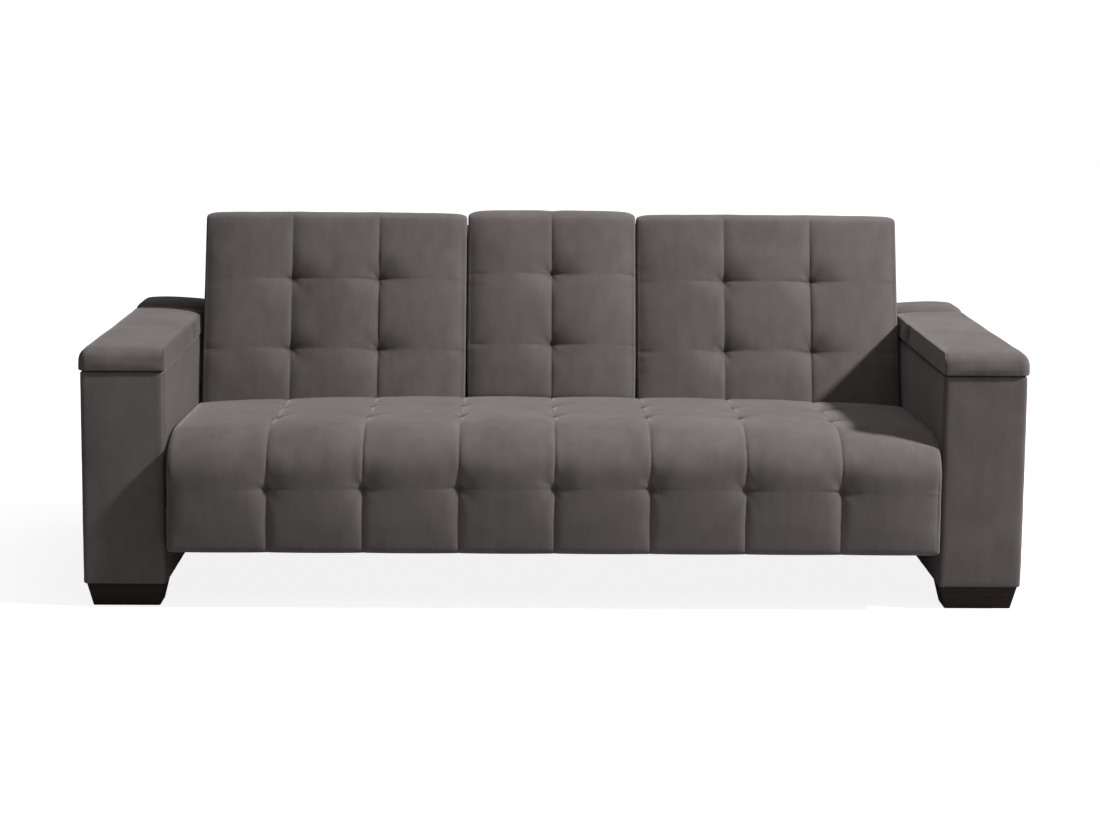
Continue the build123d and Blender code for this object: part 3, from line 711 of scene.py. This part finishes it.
def drag_out(mesh, faces, shift):
    """Extrude some faces, and take away what they leave behind."""
    made = bmesh.ops.extrude_face_region(mesh, geom=faces)["geom"]
    moved = [part for part in made if isinstance(part, bmesh.types.BMVert)]
    bmesh.ops.translate(mesh, vec=shift, verts=moved)
    bmesh.ops.delete(mesh, geom=faces, context="FACES")


def eased_turn(share):
    """A point on a quarter turn that starts and ends gently, as shares of its depth and height."""
    halfway = [(step + 0.5) / nose_steps for step in range(nose_steps)]
    slopes = [math.pi / 2 * (3 * place ** 2 - 2 * place ** 3) for place in halfway]
    passed = slopes[:round(share * nose_steps)]
    return [sum(map(part, passed)) / sum(map(part, slopes)) for part in (math.sin, math.cos)]


seat_mesh = crate((-seat_half, seat_front_y, seat_slat_top), (seat_half, seat_rear_y, seat_top))
round_edges(seat_mesh, long_edge(seat_mesh, seat_front_y, seat_top), seat_nose_depth, 20)
for v in seat_mesh.verts:
    rise = v.co.z - (seat_top - seat_nose_depth)
    inset = seat_nose_rear - v.co.y
    if rise > -0.0001 and inset > -0.0001:
        deep, high = eased_turn(math.atan2(max(rise, 0.0), max(inset, 0.0)) / (math.pi / 2))
        v.co.y = seat_front_y + seat_nose_depth * deep
        v.co.z = seat_nose_foot + seat_nose_height * high
seat_mesh.normal_update()
split_faces(seat_mesh, [f for f in seat_mesh.faces if f.normal.z < -0.9], (0, seat_rail_face, 0), (0, 1, 0))
over_front = [f for f in seat_mesh.faces if f.normal.z < -0.9 and f.calc_center_median().y < seat_rail_face]
drag_out(seat_mesh, over_front, (0, 0, seat_low.z - seat_slat_top))
bmesh.ops.dissolve_edges(seat_mesh, edges=long_edge(seat_mesh, seat_front_y, seat_slat_top), use_verts=False)
round_edges(seat_mesh, long_edge(seat_mesh, seat_front_y, seat_low.z)
            + long_edge(seat_mesh, seat_rear_y, seat_top), seat_edge, 4)
end_edges = [e for e in seat_mesh.edges if all(abs(v.co.x) > seat_half - touching for v in e.verts)
             and (e.verts[0].co.x > 0) == (e.verts[1].co.x > 0) and bend(e) > 60
             and not all(v.co.y > seat_rail_face - touching and v.co.z < seat_slat_top + touching
                         for v in e.verts)]
round_edges(seat_mesh, end_edges, seat_end_edge, 4)
seat_twin = seat_mesh.copy()
cut(seat_twin, even(-seat_half, seat_half, coarse_step), even(seat_nose_rear, seat_rear_y, coarse_step),
    even(seat_low.z, seat_slat_top, coarse_step) + even(seat_slat_top, seat_nose_foot, coarse_step))


def seat_along(co):
    """Distance up the front and then back over the top."""
    return co.z - seat_low.z + co.y - seat_front_y


def seat_border(co, normal):
    """The parts of the seat's cloth that are stapled: below, behind and at both ends."""
    return normal.z < -0.3 or normal.y > 0.3 or abs(normal.x) > 0.6


def seat_pull(co):
    """The seams pull equally all over the seat."""
    return 1.0


seat_swollen = swell(seat_twin, pillow_push(seat_columns, seat_rows, seat_along, seat_pillow, seat_pull),
                     tuft_hold(seat_columns, seat_rows, seat_along, seat_border),
                     seat_slack, seat_swell_limit)
seat_row_height = seat_low.z + seat_rows[0]
seat_row_depths = [seat_front_y + row - (seat_top - seat_low.z) for row in seat_rows[1:]]
cut(seat_mesh, graded(seat_columns, -seat_half, seat_half),
    graded(seat_row_depths, seat_nose_rear, seat_rear_y - seat_edge),
    graded([seat_row_height], seat_low.z + seat_edge, seat_nose_foot))
seat_rests = carry_over(seat_mesh, seat_swollen)
seat_creases = sew(seat_mesh, seat_rests, seat_columns, seat_rows, seat_along, seat_pull, seat_seam_depth)
for v in seat_mesh.verts:
    rise = (v.co.z - seat_low.z) / (seat_top - seat_low.z)
    behind = max(0.0, v.co.y - seat_row_depths[0]) / (seat_rear_y - seat_row_depths[0])
    v.co.z -= (seat_end_drop * abs(v.co.x / seat_half) ** 3 + seat_rear_sink * behind) * max(rise, 0.0)
    if v.co.y > seat_rail_face + touching:
        v.co.z = max(v.co.z, seat_slat_top)
suede_pad("seat_upholstery", seat_mesh, "base", "seat_cushion", fill=0.8, crease=seat_creases)

# Back frame: plywood panels on pine stiles, with one pine rail across the bottom that carries all three
# sections. The frame leans back on the click-clack hinges, and the cloth wraps round its edges.
lean = math.radians(17)
hinge_axis = Vector((0.0, 0.1325, 0.365))
back_place = Matrix.Translation(hinge_axis) @ Matrix.Rotation(-lean, 4, "X")
back_turn = (lean, 0, 0)
back_wrap = (0.245, 0.885)
console_wrap = (0.0, 0.205)
leaned_ply = cloth_wrapped(plywood("birch_plywood_back", 1, back_turn), (0, 2), back_wrap)
leaned_pine = cloth_wrapped(pine("planed_pine_stile", 2, back_turn), (0, 2), back_wrap)
leaned_rail = cloth_wrapped(pine("pine_bottom_rail", 0, back_turn), (0, 2), back_wrap)
console_ply = cloth_wrapped(plywood("birch_plywood_console", 1, back_turn), (0, 2), console_wrap)
dress(leaned_ply, "left_back_panel", "right_back_panel")
dress(console_ply, "console_board")
dress(leaned_pine, "left_back_inner_stile", "left_back_outer_stile", "right_back_inner_stile",
      "right_back_outer_stile")
dress(leaned_rail, "back_bottom_rail")

# Back cushions: a pad on each side section, sewn in three columns, with two rows of tufts. The front
# meets a narrow border at the sides, and the cloth rolls over the top.
back_front_y = -0.0505
back_rear_y = 0.045
back_bottom = -0.0407
back_top = 0.5311
back_inner = 0.225
back_outer = 0.903
back_rows = (0.1631, 0.3491)
back_roll = 0.024
back_under_roll = 0.0168
back_side_edge = 0.007
back_corner = 0.028
back_corner_drop = 0.0084
back_pillow = (0.004, 0.008, 0.002)
back_seam_depth = 0.0012
back_side_puff = 0.0026
back_end_turn = 0.009
back_slack = 0.008
back_swell_limit = 0.004


def back_cushion(name, node, low_x, high_x, bottom, top, rear, count, rows, roll, body, rear_rise=0.0,
                 top_dome=0.0):
    """One upright pad of the back, built upright about the hinge axis and then leaned back."""
    columns = [low_x + (high_x - low_x) * number / count for number in range(count + 1)]
    mesh = crate((low_x, back_front_y, bottom), (high_x, rear, top))
    round_edges(mesh, long_edge(mesh, back_front_y, top), roll, 7)
    round_edges(mesh, long_edge(mesh, back_front_y, bottom), back_under_roll, 5)
    for v in mesh.verts:
        if v.co.y > rear - touching and v.co.z < bottom + touching:
            v.co.z = bottom + rear_rise
    for x in (low_x, high_x):
        sides = [e for e in mesh.edges if all(abs(v.co.x - x) < touching for v in e.verts)
                 and not all(v.co.y > rear - touching for v in e.verts) and bend(e) > 50]
        round_edges(mesh, sides, back_side_edge, 4)
    twin = mesh.copy()
    cut(twin, even(low_x, high_x, coarse_step), even(back_front_y + roll, rear, coarse_step * 2),
        even(bottom, top - roll, coarse_step))

    def along(co):
        return co.z

    def border(co, normal):
        return normal.y > 0.3 or normal.z < -0.3 or abs(normal.x) > 0.6 or co.y > back_front_y + roll

    def pull(co):
        return 0.25 + 0.75 * min(1.0, max(0.0, (top - co.z - 0.006) / 0.075))

    swollen = swell(twin, pillow_push(columns, rows, along, back_pillow, pull),
                    tuft_hold(columns, rows, along, border), back_slack, back_swell_limit)
    cut(mesh, graded(columns, low_x + back_side_edge, high_x - back_side_edge),
        even(back_front_y + roll, rear, 0.016), graded(rows, bottom + back_under_roll, top - roll))
    rests = carry_over(mesh, swollen)
    creases = sew(mesh, rests, columns, rows, along, pull, back_seam_depth)
    for v, (co, normal) in zip(mesh.verts, rests):
        centre = 2 * (co.x - low_x) / (high_x - low_x) - 1
        lift = max(0.0, (co.z - top + back_corner) / back_corner)
        v.co.z -= lift * (back_corner_drop * abs(centre) ** 20
                          + top_dome * (abs(centre) ** 6 + groove(centre, 0.45, 0.1)))
        forward = min(1.0, max(0.0, (rear - co.y) / 0.045))
        side_full = crown(co.z, bottom, 2 * top - bottom, 8)
        v.co.x += forward * centre * abs(centre) ** 5 * back_side_puff * side_full
        v.co.y += forward * back_end_turn * abs(centre) ** 2.4
    bmesh.ops.transform(mesh, matrix=back_place, verts=mesh.verts)
    suede_pad(name, mesh, body, node, fill=0.75, crease=creases)


for side, ends in (("left", (-back_outer, -back_inner)), ("right", (back_inner, back_outer))):
    back_cushion(f"{side}_back_upholstery", f"{side}_back_cushion", *ends, back_bottom, back_top,
                 back_rear_y, 3, back_rows, back_roll, "back")

# Rear cover: one panel of suede over the whole back of the frame, with a flap over the top of each side
# section. It is stapled along the bottom rail and pulls slightly at every staple.
cover_rear_y = 0.0946
cover_front_y = 0.0904
flap_front_y = 0.0454
frame_top = 0.5175
cover_bottom = -0.035
flap_top = 0.5221
rear_edge = 0.0014
rear_bulge = 0.0028
rear_ripple = 0.0024
rear_staple_pull = (0.0012, 0.05)
rear_mesh = crate((-back_outer, cover_front_y, cover_bottom), (back_outer, cover_rear_y, flap_top))
cut(rear_mesh, (-back_inner, back_inner), (), (frame_top,))
flaps = [f for f in rear_mesh.faces if f.normal.y < -0.5 and f.calc_center_median().z > frame_top
         and abs(f.calc_center_median().x) > back_inner]
pulled = bmesh.ops.extrude_discrete_faces(rear_mesh, faces=flaps)["faces"]
bmesh.ops.translate(rear_mesh, vec=(0, flap_front_y - cover_front_y, 0),
                    verts=list({v for f in pulled for v in f.verts}))
bmesh.ops.remove_doubles(rear_mesh, verts=rear_mesh.verts, dist=0.0002)
round_edges(rear_mesh, [e for e in rear_mesh.edges if bend(e) > 60], rear_edge, 2)
cut(rear_mesh, even(-back_outer, back_outer, 0.020), (), even(cover_bottom, flap_top, 0.020))
rear_mesh.normal_update()
for v in rear_mesh.verts:
    across = crown(v.co.x, -back_outer, back_outer, 6)
    up = crown(v.co.z, cover_bottom, flap_top, 4)
    slack = rear_bulge + rear_ripple * wrinkle(v.co.x * 2.6, v.co.z * 4.2, 5.0)
    stapled = wrinkle(v.co.x * 34, 0.0, 9.0) * fading(v.co.z - cover_bottom, *rear_staple_pull)
    v.co.y += max(v.normal.y, 0.0) * (across * up * slack + stapled)
bmesh.ops.transform(rear_mesh, matrix=back_place, verts=rear_mesh.verts)
rear_piece = piece("rear_upholstery", rear_mesh, charcoal_suede, "back")
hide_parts("back_rear_cover")

# Console: the middle of the back folds down on two pins. It has a tufted cushion in front, a board, and
# a padded tray behind with two black cup liners. A padded sill closes the rail under it.
console_bottom = 0.0292
console_rear_rise = 0.0187
console_top = 0.5411
console_half = 0.2175
console_rear_y = 0.007
console_rows = (0.1791, 0.3651)
console_roll = 0.034
console_dome = 0.0045
sill_half = 0.2205
sill_top = 0.008
sill_rear_y = 0.0445
sill_roll = 0.016
no_tufts = (-1.0,)
back_cushion("console_upholstery", "console_cushion", -console_half, console_half, console_bottom,
             console_top, console_rear_y, 2, console_rows, console_roll, "console", console_rear_rise,
             console_dome)
back_cushion("console_bay_sill", None, -sill_half, sill_half, back_bottom, sill_top, sill_rear_y, 2,
             no_tufts, sill_roll, "back")
tray_front = 0.0193
tray_rear = 0.0725
tray_low = 0.0690
tray_high = 0.5266
tray_half = 0.2172
tray_edge = 0.010
tray_crown = 0.0022
tray_step = 0.018
well_x = 0.095
well_z = 0.3751
well_radius = 0.0412
well_depth = 0.080
well_middle = tray_rear - 0.0125
well_flat = 0.03
tray_mesh = crate((-tray_half, tray_front, tray_low), (tray_half, tray_rear, tray_high))
tray_rims = [e for e in tray_mesh.edges if not all(v.co.y < tray_front + touching for v in e.verts)]
round_edges(tray_mesh, tray_rims, tray_edge, 5)
cut(tray_mesh, even(-tray_half, tray_half, tray_step), (), even(tray_low, tray_high, tray_step))
tray_mesh.normal_update()
for v in tray_mesh.verts:
    across = crown(v.co.x, -tray_half, tray_half, 4)
    up = crown(v.co.z, tray_low, tray_high, 4)
    well_gap = min(math.hypot(v.co.x - sign * well_x, v.co.z - well_z) for sign in (-1, 1)) - well_radius
    flat = 1 - fading(max(well_gap, 0.0), 1, well_flat)
    v.co.y += max(v.normal.y, 0.0) * tray_crown * across * up * flat
bmesh.ops.transform(tray_mesh, matrix=back_place, verts=tray_mesh.verts)
tray_piece = piece("console_tray_upholstery", tray_mesh, charcoal_suede, "console")
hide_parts("console_tray")
well_mesh = bmesh.new()
for sign in (-1, 1):
    well_place = back_place @ Matrix.Translation((sign * well_x, well_middle, well_z))
    bmesh.ops.create_cone(well_mesh, cap_ends=True, segments=64, radius1=well_radius, radius2=well_radius,
                          depth=well_depth, matrix=well_place @ Matrix.Rotation(math.radians(90), 4, "X"))
hole_saw = put_in_scene("cup_hole_saw", mesh_data("cup_hole_saw", well_mesh))
bored = tray_piece.modifiers.new("cup_holes", "BOOLEAN")
bored.object = hole_saw
bored.operation = "DIFFERENCE"
bored_view = tray_piece.evaluated_get(bpy.context.evaluated_depsgraph_get())
bored_data = bpy.data.meshes.new_from_object(bored_view)
tray_piece.modifiers.clear()
tray_piece.data = bored_data
bpy.data.objects.remove(hole_saw)
cup_plastic = metal("moulded_black_plastic", coat_dark, coat_light, 0.42, 0.0, 1400.0)
dress(cup_plastic, "cup_liners")

# Lids and rear blocks: foam pads in the same suede. Each lid pad wraps a plywood board and is sewn
# down its inner front corner, and the cloth gathers where its inner side turns towards the back.
pad_roll = 0.024
pad_front_roll = 0.0192
pad_seam_roll = 0.005
pad_under_roll = 0.004
pad_fine_gaps = (0.0012, 0.003, 0.0055, 0.009, 0.0135, 0.0185, 0.025)
pad_coarse_gaps = (0.004, 0.011, 0.019)
pad_step = 0.011
pad_softening = 2
pad_slack = 0.0
pad_swell_limit = 0.003
pad_side_puff = 0.002
pad_ripple = 0.0016
pad_gather = (0.0016, 0.010)
pad_hem = 0.008
pad_top_edge = 0.014
block_margins = (0.001, 0.001, 0.0008), (0.0, 0.0, 0.009)
block_crown = 0.004
lid_margins = (0.001, 0.001, 0.0), (0.001, 0.002, 0.008)
lid_crown = 0.006
lid_rear_corner = 0.038
lid_board_gap = 0.0008
lid_rear_drop = 0.011
lid_rear_slope = 0.110
lid_pinch_y = 0.0525
lid_pinch_cuts = (-0.005, -0.002, 0.0, 0.002, 0.005)
lid_tuck = (0.0055, 0.010)
lid_bulge = (0.0040, 0.030)
lid_bulge_gap = 0.050
lid_seam_setback = 0.0035
lid_seam_reach = 0.0018
lid_seam_depth = 0.0012


def stuffed_pad(low, high, inner_x, outer_x, rear_corner):
    """The slab that a foam pad starts from: rounded upright corners and a soft lower edge."""
    mesh = crate(low, high)
    for x, y, radius, segments in ((inner_x, high.y, rear_corner, 8), (outer_x, high.y, pad_roll, 5),
                                   (outer_x, low.y, pad_front_roll, 5), (inner_x, low.y, pad_seam_roll, 3)):
        upright = [e for e in mesh.edges if climb(e) > 0.02 and all(
            abs(v.co.x - x) < touching and abs(v.co.y - y) < touching for v in e.verts)]
        round_edges(mesh, upright, radius, segments)
    under = [e for e in mesh.edges if all(v.co.z < low.z + touching for v in e.verts)]
    round_edges(mesh, under, pad_under_roll, 3)
    return mesh


def rolled(gap, radius):
    """How far a rolled edge drops below the top, at some distance in from the outline."""
    gap = min(max(gap, 0.0), radius)
    return radius - math.sqrt(radius * radius - (radius - gap) ** 2)


def roll_over(mesh, low, high, inner_x, outer_x, rear_corner):
    """Roll the top of a slab down to its sides: widely all round, and tightly at the sewn inner edge."""
    for v in mesh.verts:
        inner, outer = abs(v.co.x - inner_x), abs(v.co.x - outer_x)
        front, rear = v.co.y - low.y, high.y - v.co.y
        if inner < rear_corner and rear < rear_corner:
            share = math.atan2(rear_corner - rear, rear_corner - inner) / (math.pi / 2)
            gap = rear_corner - math.hypot(rear_corner - inner, rear_corner - rear)
            drop = rolled(gap, pad_seam_roll + (pad_roll - pad_seam_roll) * share)
        else:
            gap = min(outer, front, rear)
            for end, radius in ((rear, pad_roll), (front, pad_front_roll)):
                if outer < radius and end < radius:
                    gap = min(gap, radius - math.hypot(radius - outer, radius - end))
            drop = (rolled(gap, pad_roll) ** 3 + rolled(inner, pad_seam_roll) ** 3) ** (1 / 3)
        v.co.z = low.z + (v.co.z - low.z) * (1 - drop / (high.z - low.z))


def board_recess(mesh, low, board):
    """Sink a flat place into the underside of a pad for the board that it is stapled to."""
    board_low, board_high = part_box(board)
    ends = (board_low - Vector((lid_board_gap, lid_board_gap, 0)),
            board_high + Vector((lid_board_gap, lid_board_gap, 0)))
    for across in (Vector((1, 0, 0)), Vector((0, 1, 0))):
        for end in ends:
            split_faces(mesh, [f for f in mesh.faces if f.normal.z < -0.9], end, across)
    inside = [f for f in mesh.faces if f.normal.z < -0.9 and all(
        ends[0][axis] < f.calc_center_median()[axis] < ends[1][axis] for axis in (0, 1))]
    drag_out(mesh, inside, (0, 0, board_high.z - low.z + lid_board_gap))


def dress_pad(name, node, margins, inner_sign, top_crown, rear_corner, body, fill, pinch=None,
              board=None):
    """Make a pad a little inside its node's box, swell it and gather its cloth at the seams."""
    low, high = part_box(node)
    low, high = low + Vector(margins[0]), high - Vector(margins[1])
    size = high - low
    inner_x, outer_x = (low.x, high.x) if inner_sign > 0 else (high.x, low.x)
    mesh = stuffed_pad(low, high, inner_x, outer_x, rear_corner)
    twin = mesh.copy()
    for sheet, gaps in ((twin, pad_coarse_gaps), (mesh, pad_fine_gaps)):
        cut(sheet, *([low[axis] + gap for gap in gaps] + [high[axis] - gap for gap in gaps]
                     + even(low[axis] + gaps[-1], high[axis] - gaps[-1], pad_step) for axis in (0, 1)))
    cut(twin, (), (), even(low.z, high.z, 0.012))
    roll_over(twin, low, high, inner_x, outer_x, rear_corner)

    def push(co, normal):
        full_x, full_y, full_z = map(crown, co, low, high, (3, 8, 2))
        out = 1 - abs(normal.z)
        return top_crown * max(normal.z, 0.0) * full_x * full_y + pad_side_puff * out * full_z

    def hold(co, normal):
        return 1.0 if normal.z < -0.5 or co.z < low.z + pad_hem else 0.0

    swollen = swell(twin, push, hold, pad_slack, pad_swell_limit)
    beside_pinch = [] if pinch is None else [pinch + gap for gap in lid_pinch_cuts]
    cut(mesh, (), beside_pinch, even(low.z, high.z, 0.009))
    if board is not None:
        board_recess(mesh, low, board)
    roll_over(mesh, low, high, inner_x, outer_x, rear_corner)
    rests = carry_over(mesh, swollen, 3)
    soft = [v for v in mesh.verts if v.co.z > low.z + pad_top_edge and abs(v.co.x - inner_x) > size.x * 0.12]
    for _ in range(pad_softening):
        bmesh.ops.smooth_vert(mesh, verts=soft, factor=0.5, use_axis_x=True, use_axis_y=True, use_axis_z=True)
    mesh.normal_update()
    # Painted shade along the sewn inner corner and underneath, and painted shade on the pad's inner side.
    creases = []
    naps = []
    for v, (co, normal) in zip(mesh.verts, rests):
        out = 1 - abs(normal.z)
        rise = (co.z - low.z) / size.z
        towards_inner = 1 - abs(co.x - inner_x) / size.x
        seam = groove(abs(co.x - inner_x) - lid_seam_setback, 1 - abs(normal.x), lid_seam_reach)
        gather = wrinkle(co.x * 52, co.y * 52, 1.0) * fading(co.z - low.z, *pad_gather) * out
        ripple = wrinkle(co.x * 16, co.y * 7, co.z * 16) * pad_ripple * (out + max(normal.z, 0.0))
        tuck = 0.0
        if pinch is not None and towards_inner > 0.9:
            gap = co.y - pinch
            tuck = groove(gap, *lid_tuck) - groove(gap - lid_bulge_gap, *lid_bulge)
            tuck *= crown(co.z, low.z, high.z, 2)
        v.co += v.normal * (gather + ripple - lid_seam_depth * seam - tuck * abs(normal.x))
        rear_share = max(0.0, 1 - (high.y - co.y) / lid_rear_slope)
        v.co.z -= lid_rear_drop * rear_share ** 1.6 * max(0.0, towards_inner) ** 2 * rise
        creases.append(min(1.0, seam + 0.5 * max(-normal.z, 0.0)))
        naps.append(max(0.0, -inner_sign * normal.x) ** 2)
    if body == "base":
        for v in mesh.verts:
            v.co.z = max(v.co.z, low.z)
    suede_pad(name, mesh, body, node, fill, crease=creases, nap=naps)


for side, inner_sign in (("left", -1), ("right", 1)):
    dress_pad(f"{side}_rear_block_pad", f"{side}_arm_rear_block", block_margins, inner_sign, block_crown,
              pad_roll, "base", fill=0.8)
    dress_pad(f"{side}_lid_cushion", f"{side}_lid_pad", lid_margins, inner_sign, lid_crown, lid_rear_corner,
              f"{side}_lid", fill=0.75, pinch=lid_pinch_y, board=f"{side}_lid_board")

# Studio: a pale floor and a white surround that the camera sees as paper white, with a key light high on
# the right, a weak wide fill in front and a softbox overhead.
camera_data = bpy.data.cameras.new("photo_camera")
camera_data.lens = 71.65
camera_data.sensor_width = 36.0
camera_data.shift_y = -0.10
camera = put_in_scene("photo_camera", camera_data)
camera.location = (-0.1036, -5.4906, 1.3927)
camera.rotation_euler = [math.radians(angle) for angle in (82.594, -0.490, -0.941)]
bpy.context.scene.camera = camera

floor_grey = (0.35, 0.35, 0.35, 1)
floor_half = 14.0
floor_glow = 0.87
floor_fade_from = 1.4
floor_fade_to = 2.8
paper_white = (1, 1, 1, 1)
floor_mesh = bmesh.new()
bmesh.ops.create_grid(floor_mesh, x_segments=1, y_segments=1, size=floor_half)
floor_data = bpy.data.meshes.new("studio_floor")
floor_mesh.to_mesh(floor_data)
floor_mesh.free()
put_in_scene("studio_floor", floor_data)
floor_paint, floor_tree, floor_shader = blank_material("studio_floor_paint")
floor_place = floor_tree.nodes.new("ShaderNodeTexCoord")
floor_reach = add_node(floor_tree, "ShaderNodeVectorMath", {"operation": "LENGTH"},
                       Vector=floor_place.outputs["Object"])
floor_fade = add_node(floor_tree, "ShaderNodeMapRange", Value=floor_reach.outputs["Value"],
                      From_Min=floor_fade_from, From_Max=floor_fade_to, To_Min=floor_glow, To_Max=1.0)
floor_rays = floor_tree.nodes.new("ShaderNodeLightPath")
floor_seen = maths(floor_tree, "MULTIPLY", floor_rays.outputs["Is Camera Ray"],
                   floor_fade.outputs["Result"])
feed(floor_tree, floor_shader, Base_Color=floor_grey, Roughness=0.9, Specular_IOR_Level=0.0,
     Emission_Color=paper_white, Emission_Strength=floor_seen)
floor_data.materials.append(floor_paint)

world_level = 0.12
world = bpy.data.worlds.new("studio_surround")
bpy.context.scene.world = world
world.use_nodes = True
world_tree = world.node_tree
world_rays = world_tree.nodes.new("ShaderNodeLightPath").outputs
seen_direct = maths(world_tree, "MAXIMUM", world_rays["Is Camera Ray"], world_rays["Is Glossy Ray"])
seen_direct = maths(world_tree, "MAXIMUM", seen_direct, world_rays["Is Transmission Ray"])
world_strength = maths(world_tree, "MULTIPLY_ADD", seen_direct, 1.0 - world_level, world_level)
feed(world_tree, world_tree.nodes["Background"], Color=paper_white, Strength=world_strength)

lamp_aim = Vector((0.0, 0.0, 0.45))


def softbox(name, azimuth, elevation, distance, size, level):
    """A square softbox that faces the sofa; level is how brightly it lights a white card there."""
    lamp_data = bpy.data.lights.new(name, "AREA")
    lamp_data.size = size
    lamp_data.energy = level * math.pi * math.pi * distance * distance
    lamp = put_in_scene(name, lamp_data)
    turn, lift = math.radians(azimuth), math.radians(elevation)
    away = Vector((math.sin(turn) * math.cos(lift), -math.cos(turn) * math.cos(lift), math.sin(lift)))
    lamp.location = lamp_aim + away * distance
    lamp.rotation_euler = away.to_track_quat("Z", "Y").to_euler()


softbox("key_light", 75.0, 38.0, 10.0, 0.6, 1.8)
softbox("front_light", 15.0, 40.0, 4.5, 2.4, 0.10)
softbox("top_light", 172.0, 77.0, 2.8, 1.6, 0.27)
bpy.context.scene.view_settings.view_transform = "Standard"
